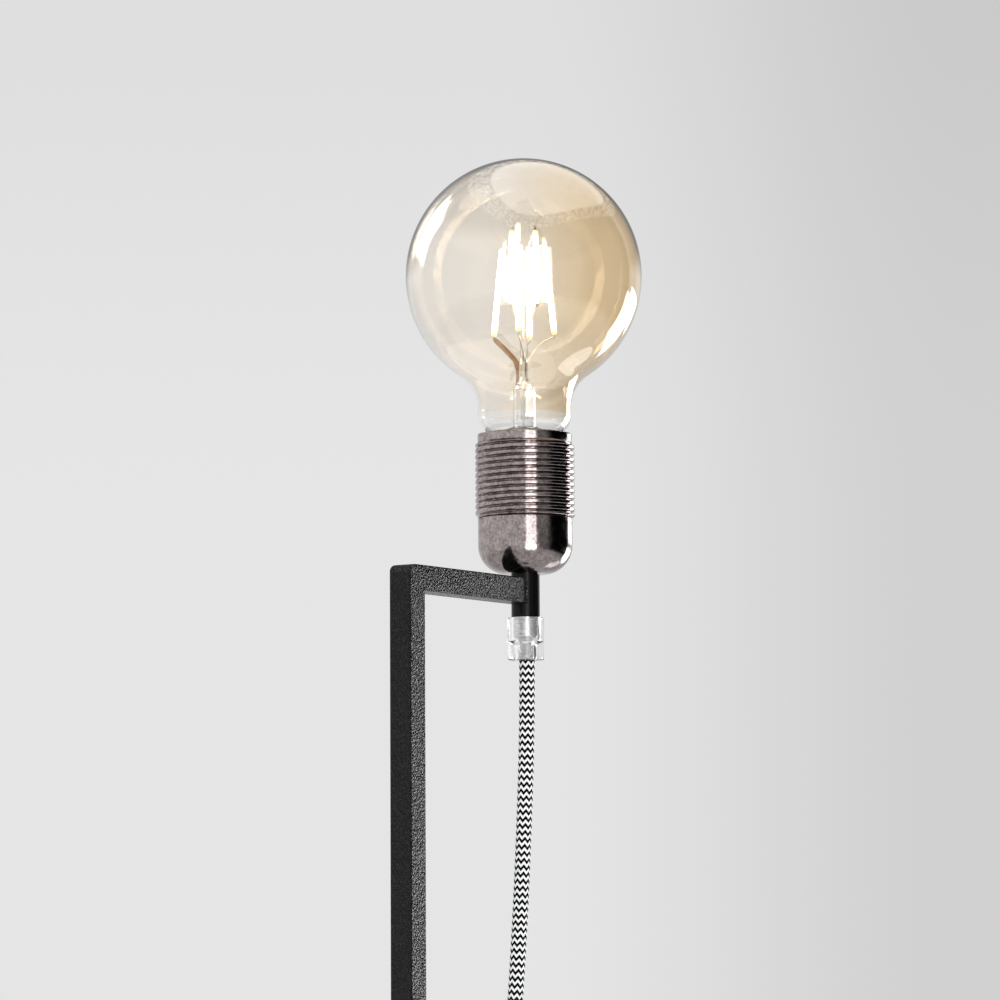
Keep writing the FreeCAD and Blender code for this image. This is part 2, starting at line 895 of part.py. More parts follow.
def bulb_glass():
    mouth, steps = bulb_outline(0)
    outside = lathe(mouth, steps + [((0, mouth[1]),)])
    mouth, steps = bulb_outline(glass_wall)
    low = mouth[1] - overrun
    inside = lathe((mouth[0], low), [(mouth,)] + steps + [((0, low),)])
    return head(outside.cut(inside))


def glass_foot_height():
    return bulb_outline(0)[0][1]


def bulb_cap():
    top = glass_foot_height()
    foot = rim_height - cap_shell_drop
    wall = cap_wall
    core = cap_core_radius
    collar = cap_radius - wall / 2
    tube = lathe((core - wall, foot), [
        ((core, foot),),
        ((core, top - cap_collar_height),),
        ((collar, top - cap_collar_height + wall),),
        ((collar, top),),
        ((collar - wall, top),),
        ((collar - wall, top - cap_collar_height + 2 * wall),),
        ((core - wall, top - cap_collar_height + wall),),
    ])
    ridge = thread_ridge(cap_thread_pitch, cap_ridge_turns, core, cap_radius, cap_ridge_base,
                         cap_ridge_crest)
    ridge.translate(Vector(0, 0, rim_height - shell_ridge_start_drop + cap_thread_pitch / 2))
    return head(tube.fuse(ridge))


def bulb_insulator():
    top = rim_height - cap_shell_drop
    foot = top - insulator_height
    return head(lathe((0, foot), [
        ((insulator_foot_radius, foot),),
        ((cap_core_radius - cap_wall, top),),
        ((0, top),),
    ]))


def bulb_button():
    top = rim_height - cap_shell_drop - insulator_height
    crown = bulb_button_crown
    radius = bulb_button_radius
    foot = top - bulb_button_height
    return head(lathe((0, foot), [
        ((radius - crown, foot),),
        ((radius, foot + crown),),
        ((radius, top),),
        ((0, top),),
    ]))


def bulb_stem():
    foot = glass_foot_height() + slip_fit
    wall = stem_wall
    outside = bulb_outline(glass_wall)[0][0] - slip_fit
    flare = rim_height + stem_flare_rise
    neck = rim_height + stem_neck_rise
    top = rim_height + stem_tube_top_rise
    tube = lathe((outside - wall, foot), [
        ((outside, foot),),
        ((outside, flare),),
        ((stem_radius + wall, neck - wall),),
        ((stem_radius, neck),),
        ((stem_radius, top),),
        ((stem_radius - wall, top),),
        ((stem_radius - wall, neck - 2 * wall),),
        ((outside - wall, flare - wall),),
    ])
    press = block((-stem_press_width / 2, -stem_press_depth / 2, top),
                  (stem_press_width / 2, stem_press_depth / 2, rim_height + stem_press_top_rise))
    ends = [e for e in press.Edges if abs(e.tangentAt(e.FirstParameter).z) > along_share]
    press = press.makeFillet(stem_press_round, ends)
    floor = Part.makeCylinder(stem_radius, wall, Vector(0, 0, top - wall))
    stem = fused([tube, floor, press])
    hole = Part.makeCylinder(exhaust_radius + slip_fit, stem_tube_top_rise,
                             Vector(0, 0, rim_height))
    return head(turned(stem.cut(hole), filament_first_angle))


def exhaust_tube():
    return head(hollow_rod(exhaust_radius, exhaust_radius - exhaust_wall,
                           rim_height + exhaust_foot_rise, rim_height + stem_tube_top_rise))


def filament_post():
    low = rim_height + stem_press_top_rise
    top = rim_height + post_top_rise
    post = Part.makeCylinder(post_radius, top - low, Vector(0, 0, low))
    cap = Part.makeCylinder(hub_radius, hub_height, Vector(0, 0, top))
    return head(post.fuse(cap))


def filament_ends():
    ends = []
    for k in range(filament_count):
        angle = filament_first_angle + 360 / filament_count * k
        foot = circle_point((0, 0), filament_foot_circle, angle)
        top = circle_point((0, 0), filament_head_circle, angle)
        ends.append((foot + (rim_height + filament_foot_rise,),
                     top + (rim_height + filament_head_rise,)))
    for angle in inner_filament_angles:
        foot = circle_point((0, 0), inner_filament_foot_circle, angle)
        top = circle_point((0, 0), inner_filament_head_circle, angle)
        ends.append((foot + (rim_height + inner_filament_foot_rise,),
                     top + (rim_height + inner_filament_head_rise,)))
    return ends


def led_filaments():
    return head(Part.makeCompound([rod(foot, top, filament_radius)
                                   for foot, top in filament_ends()]))


# Wires from the hub to the filaments' tops, and from the press to their feet.
def support_wires():
    hub = rim_height + post_top_rise + hub_height / 2
    press = rim_height + stem_press_top_rise - support_wire_radius
    wires = []
    for index, (foot, top) in enumerate(filament_ends()):
        angle = math.degrees(math.atan2(top[1], top[0]))
        root = circle_point((0, 0), hub_radius - support_wire_radius, angle) + (hub,)
        end = (top[0], top[1], top[2] - 2 * support_wire_radius)
        wires.append(rod(root, end, support_wire_radius))
        if index != strip_index:
            angle = math.degrees(math.atan2(foot[1], foot[0]))
            root = circle_point((0, 0), press_wire_circle, angle) + (press,)
            wires.append(rod(root, foot, support_wire_radius))
    return held_parts_apart(head(Part.makeCompound(wires)))


# A wire ends on the face of what it is welded to.
def held_parts_apart(shape):
    for other in (bulb_stem(), filament_post(), led_filaments()):
        shape = shape.cut(other)
    return shape


def filament_strip():
    foot, top = filament_ends()[strip_index]
    root = circle_point((0, 0), stem_press_depth / 2, math.degrees(math.atan2(foot[1], foot[0])))
    start = Vector(root[0], root[1], rim_height + stem_press_top_rise - strip_width)
    way = Vector(*foot) - start
    strip = block((-strip_width / 2, -strip_thickness / 2, 0),
                  (strip_width / 2, strip_thickness / 2, way.Length))
    strip.Placement = FreeCAD.Placement(start, FreeCAD.Rotation(upward, way))
    return held_parts_apart(head(strip))


def bulb_lead_wires():
    low = rim_height - driver_board_foot_drop + driver_board_height
    high = rim_height + stem_tube_top_rise - stem_wall
    wires = [upright_rod(side * lead_wire_offset, 0, low, high, lead_wire_radius)
             for side in (-1, 1)]
    return head(turned(Part.makeCompound(wires), filament_first_angle))


def driver_board():
    foot = rim_height - driver_board_foot_drop
    half = driver_board_side / 2
    board = block((-half, -driver_board_thickness / 2, foot),
                  (half, driver_board_thickness / 2, foot + driver_board_height))
    return head(turned(board, filament_first_angle))


def driver_parts():
    foot = rim_height - driver_board_foot_drop
    front = driver_board_thickness / 2
    middle = foot + driver_board_height / 2
    half = driver_chip_side / 2
    chip = block((half, front, middle - half),
                 (half + driver_chip_side, front + driver_chip_thickness, middle + half))
    low = foot + driver_capacitor_rise
    can = upright_rod(-driver_capacitor_radius, -front - driver_capacitor_radius,
                      low, low + driver_capacitor_height, driver_capacitor_radius)
    return head(turned(Part.makeCompound([chip, can]), filament_first_angle))


def cord_top():
    return tube_along("cord top", cord_stretch_top, cord_radius)


def cord_low():
    return tube_along("cord low", cord_stretch_low, cord_radius)


def cord_end():
    return tube_along("cord tail", cord_tail, cord_radius)


def coil_centre():
    start = cord_stretch_low[-1]
    return (start[0] - coil_outer_radius, start[1] + coil_end_length, start[2])


# The middle of the coil's cord after some turns: in on the floor layer, out again above it.
def coil_point(turn):
    centre = coil_centre()
    middle = coil_turns / 2
    inner = coil_outer_radius - coil_pitch * middle
    radius = inner + coil_pitch * abs(turn - middle)
    climb = (turn - middle) / coil_climb_turns + 0.5
    share = min(1, max(0, climb))
    share = share * share * (3 - 2 * share)
    angle = 2 * math.pi * turn
    return Vector(centre[0] + radius * math.cos(angle), centre[1] + radius * math.sin(angle),
                  centre[2] + coil_layer_rise * share)


def coil_way(turn):
    end = coil_turns + coil_exit_turns
    if turn <= 0:
        return Vector(0, 1, 0)
    if turn >= end:
        angle = 2 * math.pi * end
        return Vector(-math.sin(angle), math.cos(angle), 0)
    step = turn_step_share
    return (coil_point(turn + step) - coil_point(turn - step)).normalize()


def cord_coil():
    count = round((coil_turns + coil_exit_turns) * coil_steps_per_turn)
    turns = [k / coil_steps_per_turn for k in range(count + 1)]
    first = coil_point(turns[0])
    start = first - coil_way(turns[0]) * coil_end_length
    edges = [Part.makeLine(start, first)]
    for before, after in zip(turns, turns[1:]):
        edges += two_arcs(coil_point(before), coil_way(before), coil_point(after), coil_way(after))
    last = coil_point(turns[-1])
    edges.append(Part.makeLine(last, last + coil_way(turns[-1]) * coil_end_length))
    coil = swept(edges, cord_radius, start, coil_way(0))
    length = sum(e.Length for e in edges)
    print("coil length %.0f, volume ratio %.4f" % (length, coil.Volume / (
        math.pi * cord_radius ** 2 * length)), "valid", coil.isValid())
    print("coil least gap %.2f" % coil_gap(edges))
    print("coil end", last + coil_way(turns[-1]) * coil_end_length)
    return coil


def coil_gap(edges):
    wire = Part.Wire(edges)
    points = wire.discretize(Distance=cord_radius / 2)
    along = [0.0]
    for before, after in zip(points, points[1:]):
        along.append(along[-1] + (after - before).Length)
    least = coil_outer_radius
    apart = 4 * cord_radius
    for i, point in enumerate(points):
        for j in range(i + 1, len(points)):
            if along[j] - along[i] > apart:
                least = min(least, (points[j] - point).Length)
    return least - 2 * cord_radius


def coil_tie():
    centre = coil_centre()
    reach = cord_radius + tie_gap
    half = tie_width / 2
    tightest = coil_outer_radius - coil_pitch * coil_turns / 2
    inner = math.sqrt((tightest - reach) ** 2 - half ** 2)
    outer = coil_outer_radius + coil_pitch * coil_exit_turns + reach
    low = centre[2] - reach
    high = centre[2] + coil_layer_rise + reach
    wall = tie_thickness
    band = block((inner - wall, -half, low - wall), (outer + wall, half, high + wall))
    edges = [e for e in band.Edges if abs(e.tangentAt(e.FirstParameter).y) > along_share]
    band = band.makeFillet(reach + wall, edges)
    hole = block((inner, -half - overrun, low), (outer, half + overrun, high))
    edges = [e for e in hole.Edges if abs(e.tangentAt(e.FirstParameter).y) > along_share]
    hole = hole.makeFillet(reach, edges)
    return moved(turned(band.cut(hole), tie_angle), centre[0], centre[1], 0)


def in_switch(shape):
    return moved(shape, switch_x, switch_y, switch_height)


def switch_outer():
    half_w = switch_width / 2
    half_l = switch_length / 2
    body = block((-half_w, -switch_front_depth, -half_l), (half_w, switch_back_depth, half_l))
    return body.makeFillet(switch_edge_round, body.Edges)


def switch_inner():
    half_w = switch_width / 2 - switch_wall
    half_l = switch_length / 2 - switch_wall
    body = block((-half_w, -switch_front_depth + switch_wall, -half_l),
                 (half_w, switch_back_depth - switch_wall, half_l))
    return body.makeFillet(switch_edge_round - switch_wall, body.Edges)


def switch_half(front):
    half_w = switch_width
    low, high = (-switch_front_depth - overrun, 0) if front else (0, switch_back_depth + overrun)
    side = block((-half_w, low, -switch_length), (half_w, high, switch_length))
    shell = switch_outer().cut(switch_inner()).common(side)
    bore = Part.makeCylinder(cord_radius + slip_fit, switch_length + 2 * overrun,
                             Vector(0, 0, -switch_length / 2 - overrun))
    return shell.cut(bore)


def switch_screw_places():
    far = switch_length / 2 - switch_screw_inset
    side = switch_width / 2 - switch_wall - switch_screw_head_radius
    return [(side, far), (-side, -far)]


def switch_back():
    shell = switch_half(False)
    for x, z in switch_screw_places():
        post = rod((x, slip_fit, z), (x, switch_back_depth - switch_wall / 2, z),
                   switch_screw_head_radius + switch_wall / 2)
        shell = shell.fuse(post)
    for x, z in switch_screw_places():
        hole = rod((x, -overrun, z), (x, switch_back_depth + overrun, z),
                   switch_screw_radius + slip_fit)
        seat = rod((x, switch_back_depth - switch_screw_head_height, z),
                   (x, switch_back_depth + overrun, z), switch_screw_head_radius + slip_fit)
        shell = shell.cut(hole).cut(seat)
    return in_switch(shell)


def switch_front():
    shell = switch_half(True)
    window = block((-switch_window_width / 2, -switch_front_depth - overrun,
                    -switch_window_length / 2),
                   (switch_window_width / 2, -switch_front_depth + switch_wall + overrun,
                    switch_window_length / 2))
    shell = shell.cut(window)
    pin_y = -switch_front_depth + rocker_pin_drop
    inner_half = switch_window_width / 2
    for side in (-1, 1):
        ends = sorted((side * inner_half, side * (inner_half + rocker_boss_thickness)))
        boss = block((ends[0], -switch_front_depth + switch_wall / 2, -rocker_boss_side / 2),
                     (ends[1], pin_y + rocker_boss_side / 2, rocker_boss_side / 2))
        shell = shell.fuse(boss)
    for x, z in switch_screw_places():
        post = rod((x, -slip_fit, z), (x, -switch_front_depth + switch_wall / 2, z),
                   switch_screw_head_radius)
        hole = rod((x, overrun, z), (x, -switch_front_depth + switch_wall, z),
                   switch_screw_radius + slip_fit)
        shell = shell.fuse(post).cut(hole)
    bore = rod((-rocker_pin_length, pin_y, 0), (rocker_pin_length, pin_y, 0),
               rocker_pin_radius + slip_fit)
    return in_switch(shell.cut(bore.common(block(
        (-rocker_pin_length / 2 - slip_fit, -switch_front_depth, -rocker_boss_side),
        (rocker_pin_length / 2 + slip_fit, 0, rocker_boss_side)))))


def switch_screws():
    screws = []
    for x, z in switch_screw_places():
        body = rod((x, -switch_front_depth / 2, z), (x, switch_back_depth, z), switch_screw_radius)
        top = rod((x, switch_back_depth - switch_screw_head_height, z),
                  (x, switch_back_depth - slip_fit, z), switch_screw_head_radius)
        slot = block((x - switch_screw_head_radius, switch_back_depth - terminal_slot_depth,
                      z - terminal_slot_width / 2),
                     (x + switch_screw_head_radius, switch_back_depth + overrun,
                      z + terminal_slot_width / 2))
        screws.append(body.fuse(top).cut(slot))
    return in_switch(Part.makeCompound(screws))


# As long as the window lets it be when it is tilted.
def rocker_half_length():
    tilt = math.radians(rocker_tilt)
    swing = (rocker_pin_drop + rocker_crown) * math.sin(tilt)
    return (switch_window_length / 2 - rocker_gap - swing) / math.cos(tilt)


def switch_rocker():
    half_w = switch_window_width / 2 - rocker_side_gap
    half_l = rocker_half_length()
    face = -switch_front_depth - rocker_crown
    back = face + rocker_depth
    corners = [
        Vector(-half_w, face, half_l),
        Vector(-half_w, face + rocker_crown, 0),
        Vector(-half_w, face, -half_l),
        Vector(-half_w, back - rocker_crown, -half_l),
        Vector(-half_w, back, 0),
        Vector(-half_w, back - rocker_crown, half_l),
    ]
    body = Part.Face(Part.makePolygon(corners + corners[:1])).extrude(Vector(2 * half_w, 0, 0))
    pin_y = -switch_front_depth + rocker_pin_drop
    pin = rod((-rocker_pin_length / 2, pin_y, 0), (rocker_pin_length / 2, pin_y, 0),
              rocker_pin_radius)
    hub = rod((-half_w, pin_y, 0), (half_w, pin_y, 0), rocker_pin_radius + rocker_hub_wall)
    rocker = fused([body, hub, pin])
    rocker = turned(rocker, rocker_tilt, Vector(0, pin_y, 0), Vector(1, 0, 0))
    return in_switch(rocker)


def switch_contacts():
    deck = switch_back_depth - switch_wall
    half_w = switch_contact_width / 2
    strips = []
    for side in (-1, 1):
        inner = side * rocker_half_length()
        ends = sorted((inner, inner + side * switch_contact_length))
        strip = block((-half_w, deck - switch_contact_thickness, ends[0]),
                      (half_w, deck, ends[1]))
        step = sorted((inner, inner + side * switch_contact_thickness))
        leg = block((-half_w, deck - switch_contact_length / 2, step[0]),
                    (half_w, deck, step[1]))
        strips.append(strip.fuse(leg))
    return in_switch(Part.makeCompound(strips))


def switch_clamps():
    bars = []
    far = switch_length / 2 - switch_edge_round - switch_clamp_length
    for side in (-1, 1):
        ends = sorted((side * far, side * (far + switch_clamp_length - running_gap)))
        bar = block((-cord_radius - switch_wall, cord_radius + slip_fit - switch_clamp_height,
                     ends[0]), (cord_radius + switch_wall, switch_back_depth - switch_wall,
                                ends[1]))
        bore = Part.makeCylinder(cord_radius + slip_fit, switch_length,
                                 Vector(0, 0, -switch_length / 2))
        bars.append(bar.cut(bore))
    return in_switch(Part.makeCompound(bars))


def switch_wires():
    top = cord_stretch_top[-1][2] - switch_height
    low = cord_stretch_low[0][2] - switch_height
    spread = switch_wire_radius + slip_fit
    wires = []
    for side in (-1, 1):
        x = side * switch_wire_spread
        route = [
            (side * spread, 0, top),
            (side * spread, 0, top - switch_wire_lead),
            (x, 0, top - switch_wire_bend_reach),
            (x, 0, low + switch_wire_bend_reach),
            (side * spread, 0, low + switch_wire_lead),
            (side * spread, 0, low),
        ]
        wires.append(tube_along("wire", route, switch_wire_radius, switch_wire_radius * 2))
    return in_switch(Part.makeCompound(wires))


# Pieces of the plug are drawn along +Z from the end of the cord and laid down along -X.
def laid_plug(shape):
    end = cord_tail[-1]
    return moved(turned(shape, -90, origin, Vector(0, 1, 0)), end[0], end[1], end[2])


def plug_boot():
    return laid_plug(lathe((0, 0), [
        ((boot_rear_radius, 0),),
        ((boot_front_radius, boot_length),),
        ((0, boot_length),),
    ]))


def plug_face_height():
    return boot_length + plug_taper_length + plug_face_length


def plug_body():
    low = boot_length
    shoulder = low + plug_taper_length
    top = plug_face_height()
    edge = plug_edge_round
    body = lathe((0, low), [
        ((plug_rear_radius, low),),
        ((plug_radius, shoulder),),
        ((plug_radius, top - edge),),
        ((plug_radius - edge, top),),
        ((0, top),),
    ])
    half = plug_groove_width / 2
    for side in (-1, 1):
        ends = sorted((side * (plug_radius - plug_groove_depth), side * (plug_radius + overrun)))
        body = body.cut(block((-half, ends[0], top - plug_groove_length),
                              (half, ends[1], top + overrun)))
        body = body.cut(upright_rod(side * plug_pin_spacing / 2, 0, top - plug_pin_root,
                                    top + overrun, plug_pin_root_radius))
    return laid_plug(body)


def plug_pins():
    top = plug_face_height()
    tip = plug_pin_radius / 2
    pin = lathe((0, top - plug_pin_root), [
        ((plug_pin_root_radius, top - plug_pin_root),),
        ((plug_pin_root_radius, top),),
        ((plug_pin_radius, top),),
        ((plug_pin_radius, top + plug_pin_length - tip),),
        ((plug_pin_radius - tip, top + plug_pin_length),),
        ((0, top + plug_pin_length),),
    ])
    return laid_plug(Part.makeCompound([moved(pin, side * plug_pin_spacing / 2, 0, 0)
                                        for side in (-1, 1)]))


def plug_clips():
    top = plug_face_height()
    half = plug_clip_width / 2
    low = plug_radius - plug_groove_depth
    clips = []
    for side in (-1, 1):
        ends = sorted((side * low, side * (low + plug_clip_thickness)))
        clips.append(block((-half, ends[0], top - plug_clip_length - plug_clip_setback),
                           (half, ends[1], top - plug_clip_setback)))
    return laid_plug(Part.makeCompound(clips))


pieces = {
    "base_plate": base_plate,
    "base_pads": base_pads,
    "flange_screws": flange_screws,
    "foot_flange": foot_flange,
    "foot_weld": foot_weld,
    "upright_bar": upright_bar,
    "arm_bar": arm_bar,
    "arm_weld": arm_weld,
    "holder_sleeve": holder_sleeve,
    "threaded_nipple": threaded_nipple,
    "nipple_nut": nipple_nut,
    "holder_cup": holder_cup,
    "holder_skirt": holder_skirt,
    "holder_core": holder_core,
    "core_collar": core_collar,
    "screw_shell": screw_shell,
    "centre_contact": centre_contact,
    "terminal_blocks": terminal_blocks,
    "terminal_screws": terminal_screws,
    "earth_terminal": earth_terminal,
    "holder_wires": holder_wires,
    "earth_wire": earth_wire,
    "cord_grip": cord_grip,
    "grip_screw": grip_screw,
    "bulb_glass": bulb_glass,
    "bulb_cap": bulb_cap,
    "bulb_insulator": bulb_insulator,
    "bulb_button": bulb_button,
    "bulb_stem": bulb_stem,
    "exhaust_tube": exhaust_tube,
    "filament_post": filament_post,
    "led_filaments": led_filaments,
    "support_wires": support_wires,
    "filament_strip": filament_strip,
    "bulb_lead_wires": bulb_lead_wires,
    "driver_board": driver_board,
    "driver_parts": driver_parts,
    "cord_hang": cord_top,
    "cord_drop": cord_low,
    "cord_coil": cord_coil,
    "cord_tail": cord_end,
    "coil_tie": coil_tie,
    "switch_back": switch_back,
    "switch_front": switch_front,
    "switch_screws": switch_screws,
    "switch_rocker": switch_rocker,
    "switch_contacts": switch_contacts,
    "switch_clamps": switch_clamps,
    "switch_wires": switch_wires,
    "plug_boot": plug_boot,
    "plug_body": plug_body,
    "plug_pins": plug_pins,
    "plug_clips": plug_clips,
}

os.makedirs("parts", exist_ok=True)
for node, make in pieces.items():
    shape = make()
    state = "" if shape.isValid() else "  NOT VALID"
    print("%-18s %2d solids %12.1f mm3%s" % (node, len(shape.Solids), shape.Volume, state))
    shape.exportStep("parts/" + node + ".step")
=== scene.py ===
import math

import bpy
from mathutils import Matrix, Vector


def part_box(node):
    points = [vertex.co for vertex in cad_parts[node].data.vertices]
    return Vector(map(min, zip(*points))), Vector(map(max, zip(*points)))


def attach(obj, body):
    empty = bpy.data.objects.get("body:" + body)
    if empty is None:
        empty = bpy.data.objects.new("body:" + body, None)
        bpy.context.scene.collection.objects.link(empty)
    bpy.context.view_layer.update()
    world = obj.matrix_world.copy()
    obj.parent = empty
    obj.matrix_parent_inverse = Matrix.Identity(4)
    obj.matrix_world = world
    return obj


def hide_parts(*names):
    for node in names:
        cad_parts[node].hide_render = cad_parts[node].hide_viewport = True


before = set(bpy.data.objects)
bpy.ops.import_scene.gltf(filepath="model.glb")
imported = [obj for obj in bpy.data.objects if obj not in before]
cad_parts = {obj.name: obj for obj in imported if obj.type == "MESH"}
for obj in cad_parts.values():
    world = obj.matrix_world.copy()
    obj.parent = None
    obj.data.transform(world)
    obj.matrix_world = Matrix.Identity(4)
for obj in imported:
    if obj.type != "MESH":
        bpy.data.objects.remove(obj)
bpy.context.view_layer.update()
print("frame loaded:", len(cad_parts), "nodes")

mm = 0.001
turn = 2 * math.pi
up = Vector((0.0, 0.0, 1.0))


# places read from the frame

def lowest(node):
    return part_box(node)[0]


def highest(node):
    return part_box(node)[1]


def middle(node):
    return (lowest(node) + highest(node)) / 2


head = (middle("holder_cup").x, 0.0)
cupFoot = lowest("holder_cup").z
cupTop = highest("holder_cup").z
cupRadius = highest("holder_cup").x - head[0]
rimTop = highest("holder_skirt").z
threadCrest = highest("holder_skirt").y
gripFoot = lowest("cord_grip").z
gripTop = highest("cord_grip").z
gripRadius = highest("cord_grip").y
nippleFoot = lowest("threaded_nipple").z
nippleTop = highest("threaded_nipple").z
nippleRadius = highest("threaded_nipple").y
bulbTop = highest("bulb_glass").z
globeRadius = highest("bulb_glass").y
cordRadius = 3.1 * mm


def onAxis(height):  # a point on the lampholder's upright axis
    return Vector((head[0], head[1], height))


def outward(angle):  # level way at this many degrees from X
    return Vector((math.cos(math.radians(angle)), math.sin(math.radians(angle)), 0.0))


# shader trees

def arithmetic(operation, swapped=False):  # makes one operator of a wire
    def work(self, other):
        first, second = (other, self) if swapped else (self, other)
        return self.maths(operation, first, second)

    return work


class Wire:
    # one output of a node; arithmetic on it adds Math nodes

    __add__ = arithmetic("ADD")
    __radd__ = arithmetic("ADD", True)
    __sub__ = arithmetic("SUBTRACT")
    __rsub__ = arithmetic("SUBTRACT", True)
    __mul__ = arithmetic("MULTIPLY")
    __rmul__ = arithmetic("MULTIPLY", True)
    __truediv__ = arithmetic("DIVIDE")
    higher = arithmetic("MAXIMUM")

    def __init__(self, shader, socket):
        self.shader = shader
        self.socket = socket

    def output(self, name):
        return Wire(self.shader, self.socket.node.outputs[name])

    def maths(self, operation, first, second=0.0):
        return self.shader.add("ShaderNodeMath", {"operation": operation}, {0: first, 1: second})

    def sine(self):
        return self.maths("SINE", self)

    def fraction(self):
        return self.maths("FRACT", self)

    def size(self):
        return self.maths("ABSOLUTE", self)

    def bearing(self, other):
        return self.maths("ARCTAN2", self, other) * (360 / turn)

    def smooth(self, low, high):  # 0 below low, 1 above high, eased between
        return self.shader.add("ShaderNodeMapRange", {"interpolation_type": "SMOOTHSTEP"},
                               {"Value": self, "From Min": low, "From Max": high})

    def window(self, low, high, ease):  # 1 between low and high, eased to 0 outside
        return self.smooth(low - ease, low + ease) * (1 - self.smooth(high - ease, high + ease))


class Shader:
    # a node tree that is filled through one method for every kind of node

    def __init__(self, tree):
        self.tree = tree
        tree.nodes.clear()

    def add(self, kind, settings=None, sockets=None, out=0):
        node = self.tree.nodes.new(kind)
        for key, value in (settings or {}).items():
            setattr(node, key, value)
        for key, value in (sockets or {}).items():
            if isinstance(value, Wire):
                self.tree.links.new(value.socket, node.inputs[key])
            else:
                node.inputs[key].default_value = value
        return Wire(self, node.outputs[out] if node.outputs else None)

    def mixed(self, factor, first, second):
        return self.add("ShaderNodeMix", {"data_type": "RGBA"}, {0: factor, 6: first, 7: second}, 2)

    def vector(self, operation, first, second, out=0):
        return self.add("ShaderNodeVectorMath", {"operation": operation}, {0: first, 1: second}, out)

    def place(self):
        return self.add("ShaderNodeTexCoord", out="Object")

    def noise(self, scale, detail=3.0, roughness=0.55, stretch=(1.0, 1.0, 1.0)):
        where = self.vector("MULTIPLY", self.place(), stretch)
        return self.add("ShaderNodeTexNoise", None, {"Vector": where, "Scale": scale,
                                                     "Detail": detail, "Roughness": roughness})

    def parts(self, place):
        return self.add("ShaderNodeSeparateXYZ", None, {"Vector": place})

    def bump(self, height, distance):
        return self.add("ShaderNodeBump", None, {"Height": height, "Distance": distance})

    def finish(self, sockets):
        surface = self.add("ShaderNodeBsdfPrincipled", None, sockets)
        self.add("ShaderNodeOutputMaterial", None, {"Surface": surface})


def colour(red, green, blue):
    return (red, green, blue, 1.0)


def grey(level):
    return (level, level, level, 1.0)


def newFinish(name):
    material = bpy.data.materials.new(name)
    material.use_nodes = True
    return material, Shader(material.node_tree)


# finishes

powderLook = {"dark": 0.003, "light": 0.012, "grain": 1350.0, "height": 0.95 * mm,
              "roughness": 0.2, "specular": 0.165}


def powderCoat(name, relief):  # black paint with a fine sandy grain
    look = powderLook
    material, shader = newFinish(name)
    grain = shader.noise(look["grain"], 2.0, 0.5, (1.0, 1.0, 0.8))
    wide = shader.noise(70.0, 2.0)
    tone = shader.mixed(grain.smooth(0.45, 0.7), grey(look["dark"]), grey(look["light"]))
    rough = look["roughness"] + 0.1 * (wide - 0.5) - 0.2 * (grain - 0.5)
    shader.finish({"Base Color": tone, "Roughness": rough,
                   "Specular IOR Level": look["specular"],
                   "Normal": shader.bump(grain, look["height"] * relief)})
    return material


def satinBlack():
    material, shader = newFinish("satinBlack")
    fine = shader.noise(2600.0, 2.0)
    shader.finish({"Base Color": shader.mixed(fine, grey(0.002), grey(0.005)),
                   "Roughness": 0.2 + 0.1 * (fine - 0.5), "Specular IOR Level": 0.13,
                   "Normal": shader.bump(fine, 0.015 * mm)})
    return material


pearlLook = {"dark": colour(0.205, 0.173, 0.17), "light": colour(0.425, 0.37, 0.365),
             "roughness": 0.1, "clouds": 340.0, "specks": 1100.0}


def pearlNickel():  # polished dark nickel, cloudy with fine specks
    look = pearlLook
    material, shader = newFinish("pearlNickel")
    cloud = shader.noise(look["clouds"], 4.0, 0.65)
    speck = shader.noise(look["specks"], 3.0, 0.6)
    worn = (cloud * 0.5 + speck * 0.5).smooth(0.36, 0.64)
    tone = shader.mixed(worn, look["dark"], look["light"])
    rough = look["roughness"] + 0.1 * cloud.smooth(0.4, 0.75) + 0.12 * (speck - 0.5)
    shader.finish({"Base Color": tone, "Metallic": 1.0, "Roughness": rough,
                   "Normal": shader.bump(speck, 0.011 * mm)})
    return material


def plainMetal(name, dark, light, rough, scale=700.0, height=0.008):
    material, shader = newFinish(name)
    cloud = shader.noise(scale, 3.0)
    shader.finish({"Base Color": shader.mixed(cloud, dark, light), "Metallic": 1.0,
                   "Roughness": rough + 0.12 * (cloud - 0.5),
                   "Normal": shader.bump(cloud, height * mm)})
    return material


def plainSolid(name, dark, light, rough, scale=900.0, height=0.02, extra=None):
    material, shader = newFinish(name)
    cloud = shader.noise(scale, 3.0)
    sockets = {"Base Color": shader.mixed(cloud, dark, light),
               "Roughness": rough + 0.1 * (cloud - 0.5), "Normal": shader.bump(cloud, height * mm)}
    sockets.update(extra or {})
    shader.finish(sockets)
    return material


def wireStripes():  # green and yellow in long slanting stripes
    material, shader = newFinish("earthWire")
    parts = shader.parts(shader.place())
    share = ((parts.output("X") + parts.output("Y") - parts.output("Z")) * 260.0).fraction()
    fine = shader.noise(1500.0, 2.0)
    tone = shader.mixed(share.smooth(0.48, 0.52), colour(0.03, 0.2, 0.04), colour(0.75, 0.6, 0.04))
    shader.finish({"Base Color": tone, "Roughness": 0.4 + 0.1 * (fine - 0.5),
                   "Normal": shader.bump(fine, 0.01 * mm)})
    return material


# the amber's deep tint is painted shade on one side of the globe, and the glass's faint warm
# emission is a painted glow
glassLook = {"wall": 0.8 * mm, "neck": 18.7 * mm, "shoulder": 16.0 * mm, "footRound": 8.0 * mm,
             "footDrop": 0.6 * mm, "mouthAngle": 72.0, "tintRise": 7.6 * mm, "index": 1.8,
             "pale": colour(0.98, 0.94, 0.885), "deep": colour(0.925, 0.79, 0.59),
             "clear": colour(0.992, 0.992, 0.99), "paintedGlow": colour(1.0, 0.97, 0.91),
             "paintedGlowStrength": 0.024}


